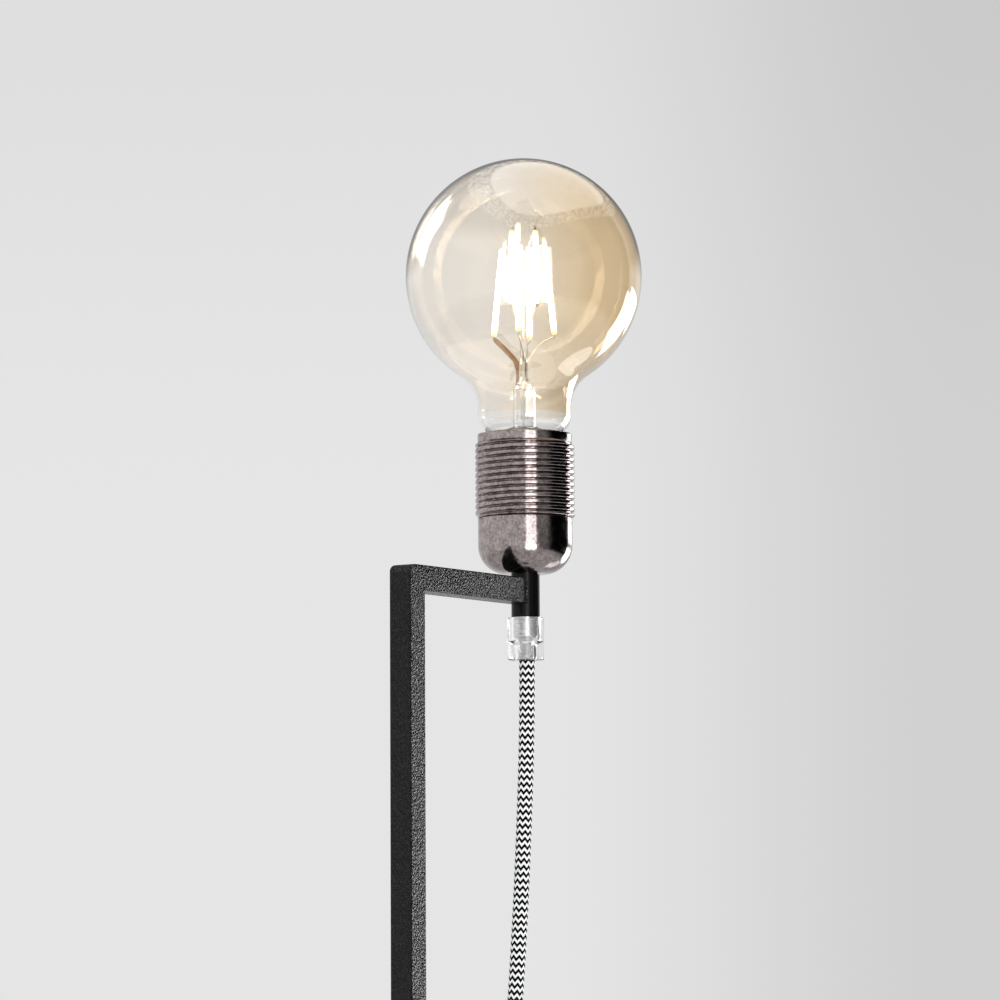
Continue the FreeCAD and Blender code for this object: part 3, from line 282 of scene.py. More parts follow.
def amberGlass():  # tinted above the neck's foot, clear below
    look = glassLook
    material, shader = newFinish("amberGlass")
    parts = shader.parts(shader.place())
    cloud = shader.noise(60.0, 2.0)
    tintFoot = rimTop + look["tintRise"]
    edge = (parts.output("Z") + 0.0012 * (cloud - 0.5)).smooth(tintFoot - 0.5 * mm,
                                                               tintFoot + 0.5 * mm)
    # painted shade: the amber turns from pale to deep toward the globe's right side as seen by the
    # camera
    side = (parts.output("X") - head[0] - 1.4 * parts.output("Y")) / globeRadius
    shadedSide = (side + 0.3 * (cloud - 0.5)).smooth(-0.7, 1.2)
    amber = shader.mixed(shadedSide, look["pale"], look["deep"])
    wave = shader.noise(18.0, 1.0)
    # painted light: the glass itself glows faintly warm, strongest at the globe's middle height
    # where the filaments shine
    level = (parts.output("Z") - bulbTop + globeRadius).size() / globeRadius
    paintedGlow = shader.mixed(1 - level.smooth(0.1, 1.1), grey(0.5), look["paintedGlow"])
    shader.finish({"Base Color": shader.mixed(edge, look["clear"], amber),
                   "Emission Color": paintedGlow, "Emission Strength": look["paintedGlowStrength"],
                   "Transmission Weight": 1.0, "IOR": look["index"], "Roughness": 0.0,
                   "Normal": shader.bump(wave, 0.25 * mm)})
    return material


def clearGlass():
    material, shader = newFinish("clearGlass")
    wave = shader.noise(180.0, 2.0)
    shader.finish({"Base Color": shader.mixed(wave, colour(0.96, 0.975, 0.97), grey(0.99)),
                   "Transmission Weight": 1.0, "IOR": 1.5, "Roughness": 0.02 * wave,
                   "Normal": shader.bump(wave, 0.08 * mm)})
    return material


def clearPlastic():
    material, shader = newFinish("clearPlastic")
    flow = shader.noise(380.0, 3.0, 0.55, (1.0, 1.0, 0.35))
    shader.finish({"Base Color": shader.mixed(flow, grey(0.97), grey(1.0)),
                   "Transmission Weight": 1.0, "IOR": 1.49, "Roughness": 0.06 + 0.1 * flow,
                   "Normal": shader.bump(flow, 0.05 * mm)})
    return material


glowLook = {"dim": colour(1.0, 0.83, 0.55), "bright": colour(1.0, 0.93, 0.78), "strength": 14.0,
            "end": colour(0.12, 0.078, 0.026), "foot": 43.0 * mm, "top": 79.5 * mm,
            "fade": 2.5 * mm}


def filamentGlow():  # white hot, yellow toward the rods' ends
    look = glowLook
    material, shader = newFinish("filamentGlow")
    parts = shader.parts(shader.place())
    lit = parts.output("Z").window(rimTop + look["foot"], rimTop + look["top"], look["fade"])
    bead = shader.noise(1500.0, 1.0)
    hot = shader.mixed(bead, look["dim"], look["bright"])
    shader.finish({"Base Color": colour(0.95, 0.72, 0.3), "Roughness": 0.5,
                   "Emission Color": shader.mixed(lit, look["end"], hot),
                   "Emission Strength": look["strength"]})
    return material


braidLook = {"row": 2.74 * mm, "repeats": 8, "columns": 16, "zig": 0.52, "black": 0.53,
             "groove": 0.17 * mm, "threads": 5.0, "whiteTone": colour(0.9, 0.9, 0.89),
             "shadeTone": grey(0.66), "blackTone": grey(0.002)}


def braidCover():  # rows of black and white yarn, laid out by girth and length
    look = braidLook
    material, shader = newFinish("braidCover")
    place = shader.add("ShaderNodeUVMap", {"uv_map": "coverMap"})
    parts = shader.parts(place)
    wedge = ((parts.output("X") * look["repeats"]).fraction() - 0.5).size() * 2
    row = parts.output("Y") / look["row"] + look["zig"] * wedge
    off = (row.fraction() - 0.5).size() * 2
    ink = 1 - off.smooth(look["black"] - 0.04, look["black"] + 0.04)
    thread = (row * look["threads"] * turn).sine() * 0.5 + 0.5
    fluff = shader.noise(5200.0, 2.0)
    white = shader.mixed(fluff * 0.5 + thread * 0.2, look["whiteTone"], look["shadeTone"])
    shader.finish({"Base Color": shader.mixed(ink, white, look["blackTone"]),
                   "Roughness": 0.8 + 0.1 * fluff, "Sheen Weight": 0.05, "Sheen Roughness": 0.4,
                   "Specular IOR Level": 0.05,
                   "Normal": shader.bump(thread * 0.6 + fluff * 0.5, 0.05 * mm)})
    return material


finishes = {
    "powder_black": powderCoat("powderCoat", 1.0),
    "weld_black": powderCoat("paintedWeld", 0.6),
    "sleeve_black": satinBlack(),
    "pad_felt": plainSolid("padFelt", grey(0.012), grey(0.045), 0.9, 1800.0, 0.12,
                           {"Sheen Weight": 0.4}),
    "zinc_steel": plainMetal("zincSteel", grey(0.78), grey(0.92), 0.42, 500.0),
    "pearl_nickel": pearlNickel(),
    "ceramic_white": plainSolid("glazedCeramic", grey(0.8), grey(0.88), 0.28, 300.0, 0.02,
                                {"Coat Weight": 0.4}),
    "brass": plainMetal("brass", colour(0.66, 0.47, 0.2), colour(0.8, 0.6, 0.28), 0.28),
    "nickel": plainMetal("platedNickel", grey(0.55), grey(0.72), 0.22),
    "wire_brown": plainSolid("brownWire", colour(0.07, 0.025, 0.012),
                             colour(0.11, 0.04, 0.018), 0.42),
    "wire_earth": wireStripes(),
    "clear_plastic": clearPlastic(),
    "glass_amber": amberGlass(),
    "glass_clear": clearGlass(),
    "insulator_black": plainSolid("capInsulator", grey(0.006), grey(0.016), 0.22),
    "filament_glow": filamentGlow(),
    "copper_strip": plainMetal("copperStrip", colour(0.3, 0.18, 0.09), colour(0.5, 0.33, 0.18),
                               0.4),
    "board_green": plainSolid("circuitBoard", colour(0.008, 0.09, 0.03),
                              colour(0.014, 0.14, 0.05), 0.4),
    "chip_black": plainSolid("componentBody", grey(0.01), grey(0.022), 0.5),
    "cord_textile": braidCover(),
    "tie_black": plainSolid("coilTie", grey(0.01), grey(0.024), 0.75, 2600.0, 0.08),
    "black_plastic": plainSolid("mouldedPlastic", grey(0.009), grey(0.014), 0.34, 3000.0, 0.02),
    "rubber_black": plainSolid("softRubber", grey(0.013), grey(0.022), 0.62, 2000.0, 0.03),
}
print("finishes made:", len(finishes))


# mesh helpers

def addObject(name, data):
    made = bpy.data.objects.new(name, data)
    bpy.context.scene.collection.objects.link(made)
    return made


def addPiece(name, shape, slotName, body, replaced=(), sharp=None):
    points, faces = shape
    mesh = bpy.data.meshes.new(name)
    mesh.from_pydata(points, [], faces)
    mesh.materials.append(finishes[slotName])
    mesh.polygons.foreach_set("use_smooth", [True] * len(mesh.polygons))
    if sharp:
        mesh.set_sharp_from_angle(angle=math.radians(sharp))
    piece = addObject(name, mesh)
    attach(piece, body)
    if replaced:
        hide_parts(*replaced)
    return piece


def joined(shapes):
    points, faces = [], []
    for morePoints, moreFaces in shapes:
        start = len(points)
        points += morePoints
        faces += [[corner + start for corner in face] for face in moreFaces]
    return points, faces


def placed(shape, matrix):
    return [matrix @ Vector(point) for point in shape[0]], shape[1]


def arc(centre, radius, start, end, count):  # points in the half plane, angles in degrees
    points = []
    for k in range(count + 1):
        angle = math.radians(start + (end - start) * k / count)
        points.append((centre[0] + radius * math.cos(angle), centre[1] + radius * math.sin(angle)))
    return points


def rows(radius, low, high, count):  # a straight wall in equal steps, without its ends
    return [(radius, low + (high - low) * k / count) for k in range(1, count)]


def eased(share):  # 0 to 1, level at both ends and beyond them
    share = min(1.0, max(0.0, share))
    return share * share * (3 - 2 * share)


def turned(outline, segments, centre=head, radiusAt=None):
    # a closed outline of (radius, height), turned about an upright line; radius 0 is a pole
    points, rings = [], []
    for radius, height in outline:
        if radius < 1e-7:
            rings.append([len(points)] * segments)
            points.append((centre[0], centre[1], height))
            continue
        rings.append(list(range(len(points), len(points) + segments)))
        for k in range(segments):
            angle = turn * k / segments
            out = radiusAt(radius, angle, height) if radiusAt else radius
            points.append((centre[0] + out * math.cos(angle), centre[1] + out * math.sin(angle),
                           height))
    faces = []
    for index, low in enumerate(rings):
        high = rings[(index + 1) % len(rings)]
        for k in range(segments):
            j = (k + 1) % segments
            corners = [low[k], low[j], high[j], high[k]]
            face = [corner for n, corner in enumerate(corners) if corner != corners[n - 1]]
            if len(face) > 2:
                faces.append(face)
    return points, faces


def threaded(root, look, low, high):
    # radii of a thread on the wall at the root's radius, which runs out at both ends
    pitch = look["pitch"]

    def ridged(radius, angle, height):
        if abs(radius - root) > 1e-6:
            return radius
        share = 0.5 - 0.5 * math.cos(turn * ((height - low) / pitch - angle / turn))
        share *= eased(min(height - low, high - height) / (pitch / 2))
        return radius + look["depth"] * (1 - (1 - share) ** look["fullness"])

    return ridged


def tube(line, radius, segments, radiusAt=None):
    # a tube along a line, turned as little as possible on its way, with closed ends
    points, side = [], Vector((1.0, 0.0, 0.0))
    first = (line[1] - line[0]).normalized()
    if abs(first.x) > 0.9:
        side = up
    for k, place in enumerate(line):
        way = (line[min(k + 1, len(line) - 1)] - line[max(k - 1, 0)]).normalized()
        side = (side - way * side.dot(way)).normalized()
        other = way.cross(side)
        for j in range(segments):
            angle = turn * j / segments
            out = radiusAt(k, j / segments) if radiusAt else radius
            points.append(place + (side * math.cos(angle) + other * math.sin(angle)) * out)
    faces = []
    for k in range(len(line) - 1):
        for j in range(segments):
            i = (j + 1) % segments
            low, high = k * segments, (k + 1) * segments
            faces.append([low + j, low + i, high + i, high + j])
    last = (len(line) - 1) * segments
    faces.append(list(range(segments - 1, -1, -1)))
    faces.append([last + j for j in range(segments)])
    return points, faces


def splineLine(route, resolution):
    # close points on the smooth spline that has the route's points as its control points
    data = bpy.data.curves.new("routeLine", "CURVE")
    data.dimensions = "3D"
    spline = data.splines.new("NURBS")
    spline.points.add(len(route) - 1)
    for point, place in zip(spline.points, route):
        point.co = (*place, 1.0)
    spline.order_u = 3
    spline.use_endpoint_u = True
    spline.resolution_u = resolution
    holder = bpy.data.objects.new("routeLine", data)
    mesh = bpy.data.meshes.new_from_object(holder)
    points = [vertex.co.copy() for vertex in mesh.vertices]
    bpy.data.objects.remove(holder)
    bpy.data.curves.remove(data)
    bpy.data.meshes.remove(mesh)
    return points


def evenLine(points, step):
    # the same line in equal steps, and how far along it each point is
    along = [0.0]
    for before, after in zip(points, points[1:]):
        along.append(along[-1] + (after - before).length)
    count = max(2, round(along[-1] / step))
    line, lengths, index = [], [], 0
    for k in range(count + 1):
        target = along[-1] * k / count
        while index < len(along) - 2 and along[index + 1] < target:
            index += 1
        share = (target - along[index]) / max(1e-9, along[index + 1] - along[index])
        line.append(points[index].lerp(points[index + 1], share))
        lengths.append(target)
    return line, lengths


# camera at the photograph's angle

cameraLook = {"heading": 55.56, "pitch": 6.07, "roll": 0.3, "lens": 161.9, "sensor": 36.0,
              "distance": 1.79, "beside": -0.01, "belowArm": 0.1534}


def placeCamera():
    look = cameraLook
    heading = math.radians(look["heading"])
    pitch = math.radians(look["pitch"])
    roll = math.radians(look["roll"])
    level = Vector((math.sin(heading), math.cos(heading), 0.0))
    right = Vector((math.cos(heading), -math.sin(heading), 0.0))
    forward = level * math.cos(pitch) + up * math.sin(pitch)
    above = right.cross(forward)
    place = onAxis(middle("arm_bar").z) - level * look["distance"]
    place += right * look["beside"] - up * look["belowArm"]
    rolledRight = right * math.cos(roll) - above * math.sin(roll)
    rolledAbove = above * math.cos(roll) + right * math.sin(roll)
    data = bpy.data.cameras.new("photoCamera")
    data.lens = look["lens"]
    data.sensor_width = look["sensor"]
    data.clip_start, data.clip_end = 0.05, 100.0
    camera = addObject("photoCamera", data)
    turning = Matrix((rolledRight, rolledAbove, -forward)).transposed()
    camera.matrix_world = Matrix.Translation(place) @ turning.to_4x4()
    bpy.context.scene.camera = camera
    return level, right


ahead, sideways = placeCamera()
print("camera placed")

# studio: pale room, soft boxes and one dark screen, painted on the world

studioLook = {
    "floor": 0.74, "left": 0.94, "right": 0.3, "ceiling": 0.1, "ceilingLight": 0.45,
    "keyFrom": 2.0, "keyTo": 27.0, "keyLow": -46.0, "keyHigh": -8.0, "keyStrength": 10.5,
    "aboveFrom": 2.0, "aboveTo": 27.0, "aboveLow": -8.0, "aboveHigh": 20.0, "aboveStrength": 2.8,
    "screenFrom": 50.0, "screenTo": 126.0, "screenLow": -34.0, "screenHigh": 52.0,
    "screenFade": 20.0, "screenDepth": 0.99,
    "flashFrom": 125.0, "flashTo": 147.0, "flashLow": -26.0, "flashHigh": -2.0,
    "flashStrength": 10.0,
    "edgeFrom": 142.0, "edgeTo": 160.0, "edgeLow": -3.0, "edgeHigh": 12.0, "edgeStrength": 0.25,
    "stripFrom": -141.0, "stripTo": -129.0, "stripLow": 14.0, "stripHigh": 41.0,
    "stripStrength": 4.0,
    "openAhead": -0.36, "openBeside": 0.3, "openLength": 1.12, "openWidth": 0.62,
    "openSlant": 0.15, "openStrength": 1.05, "net": 14.0, "netStrength": 0.8,
    "browLow": 10.0, "browHigh": 38.0, "browEase": 4.0, "browDepth": 0.66,
    "backLeft": 0.785, "backRight": 0.635, "backTop": 0.93,
}


def softBox(bearing, rise, name, ease):
    look = studioLook
    return bearing.window(look[name + "From"], look[name + "To"], ease) * \
        rise.window(look[name + "Low"], look[name + "High"], ease)


def buildStudio():
    look = studioLook
    world = bpy.data.worlds.new("studio")
    bpy.context.scene.world = world
    world.use_nodes = True
    shader = Shader(world.node_tree)
    way = shader.add("ShaderNodeTexCoord", out="Generated")
    toward = shader.vector("DOT_PRODUCT", way, tuple(-ahead), "Value")
    side = shader.vector("DOT_PRODUCT", way, tuple(sideways), "Value")
    height = shader.vector("DOT_PRODUCT", way, (0.0, 0.0, 1.0), "Value")
    away = 0 - toward
    bearing = side.bearing(toward)
    rise = shader.add("ShaderNodeMath", {"operation": "ARCSINE"}, {0: height}) * (360 / turn)
    across = (side / away.higher(0.2)).smooth(0.0, 0.105) * away.smooth(0.2, 0.9)
    plain = look["backLeft"] - (look["backLeft"] - look["backRight"]) * across
    plain = plain * (1 - (1 - look["backTop"]) * height.smooth(0.1, 0.24))
    room = look["left"] + (look["right"] - look["left"]) * bearing.window(12.0, 127.0, 20.0)
    room = room + (plain - room) * away.smooth(0.6, 0.8)
    room = room + (look["floor"] - room) * (1 - rise.smooth(-52.0, -34.0))
    path = shader.add("ShaderNodeLightPath")
    matt = path.output("Is Diffuse Ray")
    ceiling = look["ceiling"] + matt * (look["ceilingLight"] - look["ceiling"])
    room = room + (ceiling - room) * rise.smooth(22.0, 46.0)
    screen = softBox(bearing, rise, "screen", 3.0)
    screen = screen * bearing.smooth(look["screenFrom"], look["screenFrom"] + look["screenFade"])
    light = room * (1 - screen * look["screenDepth"])
    for name, ease in (("key", 1.0), ("above", 1.0), ("flash", 1.5), ("edge", 3.0), ("strip", 1.5)):
        light = light + softBox(bearing, rise, name, ease) * look[name + "Strength"]
    brow = rise.window(look["browLow"], look["browHigh"], look["browEase"]) * away.smooth(0.5, 0.7)
    light = light * (1 - brow * look["browDepth"] * (1 - matt))
    front = toward / height.higher(0.05)
    over = side / height.higher(0.05)
    along = (front - look["openAhead"]) / look["openLength"]
    beside = (over - look["openBeside"] + look["openSlant"] * (front - look["openAhead"]))
    beside = beside / look["openWidth"]
    reach = along * along + beside * beside
    above = height.smooth(0.3, 0.4)
    opening = (1 - reach.smooth(0.92, 1.05)) * above
    place = shader.add("ShaderNodeCombineXYZ", None, {"X": front, "Y": over})
    strand = shader.add("ShaderNodeTexVoronoi", {"feature": "DISTANCE_TO_EDGE"},
                        {"Vector": place, "Scale": look["net"]}, "Distance")
    net = strand.smooth(0.07, 0.2) * reach.window(1.0, 2.1, 0.08) * above
    light = light + opening * look["openStrength"] + net * look["netStrength"] * (1 - matt)
    straight = 1 - path.output("Glossy Depth").smooth(0.4, 0.6)
    seen = path.output("Is Camera Ray").higher(path.output("Is Transmission Ray") * straight)
    level = light + (plain - light) * seen
    background = shader.add("ShaderNodeBackground", None, {"Color": grey(1.0), "Strength": level})
    shader.add("ShaderNodeOutputWorld", None, {"Surface": background})


lampLook = {
    "side": {"from": (0.2, 0.62, -0.6), "to": (0.3, -0.06, -0.35), "wide": 0.4, "high": 0.4,
             "power": 2.5, "shown": False},
    "low": {"from": (-0.568, 0.594, -0.875), "to": (0.0, 0.0, 0.0), "wide": 0.46, "high": 0.46,
            "power": 0.65, "shown": True},
    "rim": {"from": (-0.352, 0.296, -0.03), "to": (0.0, 0.0, -0.07), "wide": 0.2, "high": 0.08,
            "power": 0.17, "shown": True},
}


def buildLamp(name):  # places are toward the camera, to its right and up from the globe
    look = lampLook[name]
    data = bpy.data.lights.new(name + "Lamp", "AREA")
    data.shape = "ELLIPSE" if name == "low" else "RECTANGLE"
    data.size, data.size_y, data.energy = look["wide"], look["high"], look["power"]
    lamp = addObject(name + "Lamp", data)
    centre = onAxis(bulbTop - globeRadius)
    place, aim = (centre - ahead * at[0] + sideways * at[1] + up * at[2]
                  for at in (look["from"], look["to"]))
    turning = (aim - place).to_track_quat("-Z", "Y").to_matrix().to_4x4()
    lamp.matrix_world = Matrix.Translation(place) @ turning
    lamp.visible_camera = False
    lamp.visible_glossy = lamp.visible_transmission = look["shown"]


floorLook = {"rings": (3.0, 9.0, 14.0), "depth": 0.01, "drop": 0.0002, "segments": 96,
             "dark": grey(0.76), "light": grey(0.8), "fadeFrom": 1.2, "fadeTo": 4.0}


def buildFloor():  # a pale disc that fades out away from the lamp
    look = floorLook
    wide, deep = look["rings"][-1], look["depth"]
    outline = [(0.0, 0.0)] + [(radius, 0.0) for radius in look["rings"]]
    outline += [(wide, -deep), (0.0, -deep)]
    points, faces = turned(outline, look["segments"], (0.0, 0.0))
    mesh = bpy.data.meshes.new("studioFloor")
    mesh.from_pydata(points, [], faces)
    floor = addObject("studioFloor", mesh)
    floor.location.z = -look["drop"]
    material, shader = newFinish("paleFloor")
    distance = shader.vector("LENGTH", shader.place(), (0.0, 0.0, 0.0), "Value")
    tone = shader.mixed(shader.noise(3.0, 3.0), look["dark"], look["light"])
    paint = shader.add("ShaderNodeBsdfDiffuse", None, {"Color": tone})
    away = shader.add("ShaderNodeBsdfTransparent", None, {"Color": grey(1.0)})
    fade = distance.smooth(look["fadeFrom"], look["fadeTo"])
    both = shader.add("ShaderNodeMixShader", None, {0: fade, 1: paint, 2: away})
    shader.add("ShaderNodeOutputMaterial", None, {"Surface": both})
    mesh.materials.append(material)


bpy.context.scene.view_settings.view_transform = "Standard"
buildStudio()
for lampName in lampLook:
    buildLamp(lampName)
buildFloor()
print("studio built")

# textile cord: one stretch above the switch and one below it, which ends in a coil

upperRoute = [
    (0.0405, 0.0, 1.272), (0.0411, -0.0009, 1.24), (0.0401, 0.0024, 1.152),
    (0.0391, 0.0083, 1.076), (0.0364, 0.018, 0.996), (0.0336, 0.0284, 0.912),
    (0.0314, 0.0376, 0.828), (0.0296, 0.0454, 0.744), (0.0284, 0.051, 0.662),
    (0.028, 0.054, 0.588), (0.028, 0.054, 0.528),
]
lowerRoute = [
    (0.028, 0.054, 0.468), (0.028, 0.054, 0.408), (0.0276, 0.0564, 0.33),
    (0.0272, 0.0606, 0.25), (0.0268, 0.0664, 0.172), (0.0264, 0.0732, 0.118),
    (0.026, 0.083, 0.076), (0.0264, 0.0996, 0.042), (0.0286, 0.1236, 0.0206),
    (0.0356, 0.1508, 0.0094), (0.047, 0.1766, 0.0056), (0.0574, 0.199, 0.0048),
    (0.06, 0.212, 0.0048), (0.06, 0.225, 0.0048),
]
tailRoute = [
    (-0.011, 0.2809, 0.0117), (-0.03, 0.2842, 0.0134), (-0.048, 0.2896, 0.0166),
    (-0.065, 0.292, 0.0188), (-0.081, 0.292, 0.0188),
]
coilLook = {"radius": 48.0 * mm, "turns": 7.0, "exitTurns": 0.25, "pitch": 6.9 * mm,
            "rise": 6.9 * mm, "climb": 0.5, "lead": 6.2 * mm, "pointsPerTurn": 24}


def coilRoute():
    look = coilLook
    start = lowerRoute[-1]
    centre = (start[0] - look["radius"], start[1] + look["lead"], start[2])
    half = look["turns"] / 2
    inner = look["radius"] - look["pitch"] * half
    count = round((look["turns"] + look["exitTurns"]) * look["pointsPerTurn"])
    points = []
    for k in range(count + 1):
        turns = k / look["pointsPerTurn"]
        radius = inner + look["pitch"] * abs(turns - half)
        share = eased((turns - half) / look["climb"] + 0.5)
        points.append((centre[0] + radius * math.cos(turn * turns),
                       centre[1] + radius * math.sin(turn * turns),
                       centre[2] + look["rise"] * share))
    return points


def braidedCord(name, route, resolution, step, segments, replaced, top):
    points = [point for point in splineLine(route, resolution) if point.z < top]
    line, lengths = evenLine(points, step)

    def coverRadius(k, share):
        column = abs((share * braidLook["columns"]) % 1.0 - 0.5) * 2
        wedge = abs((share * braidLook["repeats"]) % 1.0 - 0.5) * 2
        row = (lengths[k] / braidLook["row"] + braidLook["zig"] * wedge) % 1.0
        strand = abs(math.cos(turn * row))
        return cordRadius - braidLook["groove"] * max(column ** 6, 0.75 * (1 - strand) ** 2)

    shape = tube(line, cordRadius, segments, coverRadius)
    piece = addPiece(name, shape, "cord_textile", "lamp", replaced)
    cover = piece.data.uv_layers.new(name="coverMap")
    corner = 0
    for index in range(len(shape[1]) - 2):
        k, j = divmod(index, segments)
        for around, along in ((0, 0), (1, 0), (1, 1), (0, 1)):
            cover.data[corner].uv = ((j + around) / segments, lengths[k + along])
            corner += 1
    print(name, "length", round(lengths[-1], 3))
    return piece, line


coarse = 1
upperCord, upperLine = braidedCord("cordAboveSwitch", upperRoute, 64, 0.36 * mm * coarse, 64,
                                   ["cord_hang"], gripFoot + 0.6 * mm)
lowerCord, lowerLine = braidedCord("cordBelowSwitch", lowerRoute + coilRoute() + tailRoute, 16,
                                   0.68 * mm * coarse, 32, ["cord_drop", "cord_coil", "cord_tail"],
                                   lowerRoute[0][2] + mm)


# lampholder

cupLook = {"wall": 1.3 * mm, "dome": 11.5 * mm, "edge": 0.3 * mm}


def buildCup():
    wall, dome, edge = cupLook["wall"], cupLook["dome"], cupLook["edge"]
    bore = nippleRadius + 0.05 * mm
    centre = (cupRadius - dome, cupFoot + dome)
    outline = [(bore, cupFoot)] + arc(centre, dome, -90, 0, 24)
    outline += rows(cupRadius, centre[1], cupTop - edge, 4)
    outline += arc((cupRadius - edge, cupTop - edge), edge, 0, 90, 4)
    outline += [(cupRadius - wall, cupTop)] + arc(centre, dome - wall, 0, -90, 16)
    outline += [(bore, cupFoot + wall)]
    addPiece("cupShell", turned(outline, 160), "pearl_nickel", "lamp", ["holder_cup"], 40)


skirtLook = {"wall": 1.3 * mm, "spigot": 6.0 * mm, "rim": 3.6 * mm, "edge": 0.45 * mm,
             "pitch": 2.5 * mm, "depth": 1.1 * mm, "fullness": 3.6, "rowsPerPitch": 20}


def buildSkirt():
    look = skirtLook
    spigot = cupRadius - cupLook["wall"] - 0.05 * mm
    bore = spigot - look["wall"]
    root = threadCrest - look["depth"]
    low, rimLow, edge = cupTop + 0.1 * mm, rimTop - look["rim"], look["edge"]
    count = round((rimLow - low) / look["pitch"] * look["rowsPerPitch"])
    outline = [(bore, cupTop - look["spigot"]), (spigot, cupTop - look["spigot"]), (spigot, low)]
    outline += [(root - edge / 2, low), (root, low + edge / 2)]
    outline += rows(root, low + edge / 2, rimLow - edge / 2, count)
    outline += [(root, rimLow - edge / 2), (root + edge / 4, rimLow)]
    outline += arc((cupRadius - edge / 2, rimLow + edge / 2), edge / 2, -90, 0, 3)
    outline += arc((cupRadius - edge, rimTop - edge), edge, 0, 90, 5)
    outline += [(bore + edge / 2, rimTop), (bore, rimTop - edge / 2)]
    shape = turned(outline, 144, head, threaded(root, look, low, rimLow))
    addPiece("threadedSkirt", shape, "pearl_nickel", "lamp", ["holder_skirt"], 50)


nippleLook = {"pitch": 1.0 * mm, "depth": 0.22 * mm, "bore": 3.6 * mm, "edge": 0.4 * mm,
              "fullness": 1.0, "rowsPerPitch": 9}


def buildNipple():
    look = nippleLook
    root, edge = nippleRadius - look["depth"], look["edge"]
    count = round((nippleTop - nippleFoot) / look["pitch"] * look["rowsPerPitch"])
    outline = [(look["bore"], nippleFoot), (root - edge, nippleFoot)]
    outline += [(root, nippleFoot + edge)] + rows(root, nippleFoot + edge, nippleTop - edge, count)
    outline += [(root, nippleTop - edge), (root - edge, nippleTop), (look["bore"], nippleTop)]
    shape = turned(outline, 96, head, threaded(root, look, nippleFoot, nippleTop))
    addPiece("threadedTube", shape, "zinc_steel", "lamp", ["threaded_nipple"], 50)


gripLook = {"edge": 0.8 * mm, "bore": 3.4 * mm, "throat": 3.0 * mm, "gap": 0.05 * mm,
            "run": 0.3 * mm}


def buildGrip():
    look = gripLook
    edge, wide = look["edge"], nippleRadius + look["gap"]
    threadFoot = nippleFoot - look["run"]
    outline = [(look["bore"] + edge / 4, gripFoot)]
    outline += arc((gripRadius - edge, gripFoot + edge), edge, -90, 0, 6)
    outline += arc((gripRadius - edge / 2, gripTop - edge / 2), edge / 2, 0, 90, 4)
    outline += [(wide, gripTop)] + rows(wide, gripTop, threadFoot, 6) + [(wide, threadFoot)]
    slope = (wide - look["bore"]) / 2
    outline += arc((wide - slope, threadFoot - edge), slope, 0, -70, 6)
    outline += arc((look["bore"] + slope, threadFoot - look["throat"]), slope, 110, 180, 6)
    outline += rows(look["bore"], threadFoot - look["throat"], gripFoot, 6)
    outline += [(look["bore"], gripFoot + edge / 4)]
    addPiece("clearGrip", turned(outline, 96), "clear_plastic", "lamp", ["cord_grip"], 35)


screwLook = {"radius": 2.4 * mm, "rise": 4.6 * mm, "slot": 0.8 * mm, "depth": 1.2 * mm,
             "recess": 0.6 * mm, "angle": 214.4, "half": 14}


def buildGripScrew():  # a rod with a slot across its outer end, laid toward the cord
    look = screwLook
    start, end = cordRadius + 0.05 * mm, gripRadius - look["recess"]
    lean = math.asin(look["slot"] / 2 / look["radius"])
    angles = []
    for side in (0, math.pi):
        for k in range(look["half"] + 1):
            angles.append(side + lean + (math.pi - 2 * lean) * k / look["half"])
    count = len(angles)
    points = []
    for height in (start, end - look["depth"], end):
        for angle in angles:
            points.append((look["radius"] * math.cos(angle), look["radius"] * math.sin(angle),
                           height))
    half = look["half"] + 1
    faces = [list(range(count - 1, -1, -1))]
    for k in range(count):
        j = (k + 1) % count
        faces.append([k, j, count + j, count + k])
        if k % half != half - 1:
            faces.append([count + k, count + j, 2 * count + j, 2 * count + k])
    for a, b in ((0, half - 1), (half, count - 1)):
        faces.append([count + b, count + a, 2 * count + a, 2 * count + b])
        faces.append([2 * count + k for k in range(a, b + 1)])
    faces.append([count, count + half - 1, count + half, 2 * count - 1])
    way = outward(look["angle"])
    turning = Matrix((up, way.cross(up), way)).transposed().to_4x4()
    place = Matrix.Translation(onAxis(gripFoot + look["rise"]))
    addPiece("gripScrew", placed((points, faces), place @ turning), "clear_plastic", "lamp",
             ["grip_screw"], 35)


coresLook = {"radius": 1.05 * mm, "offset": 1.1 * mm, "back": 2.1 * mm, "sunk": 2.0 * mm,
             "top": 1.2 * mm, "sheath": 2.95 * mm}


def buildSheath():  # the white sleeve under the textile cover, bare inside grip and tube
    low, high = gripFoot + 0.4 * mm, upperRoute[0][2]
    line = [onAxis(low + (high - low) * k / 12) for k in range(13)]
    addPiece("innerSheath", tube(line, coresLook["sheath"], 32), "ceramic_white", "lamp")


def buildCordCores():  # the three wires between the end of the sheath and their bends
    low = upperRoute[0][2] - coresLook["sunk"]
    high = nippleTop - coresLook["top"]
    side, back = coresLook["offset"], coresLook["back"]
    shapes = []
    for x, y in ((-side, 0.0), (side, 0.0), (0.0, back)):
        line = [Vector((head[0] + x, head[1] + y, low + (high - low) * k / 6)) for k in range(7)]
        shapes.append(tube(line, coresLook["radius"] * 0.98, 16))
    addPiece("cordCores", joined(shapes), "wire_brown", "lamp")


buildCup()
buildSkirt()
buildNipple()
buildGrip()
buildGripScrew()
buildSheath()
buildCordCores()
print("lampholder made")


# bulb

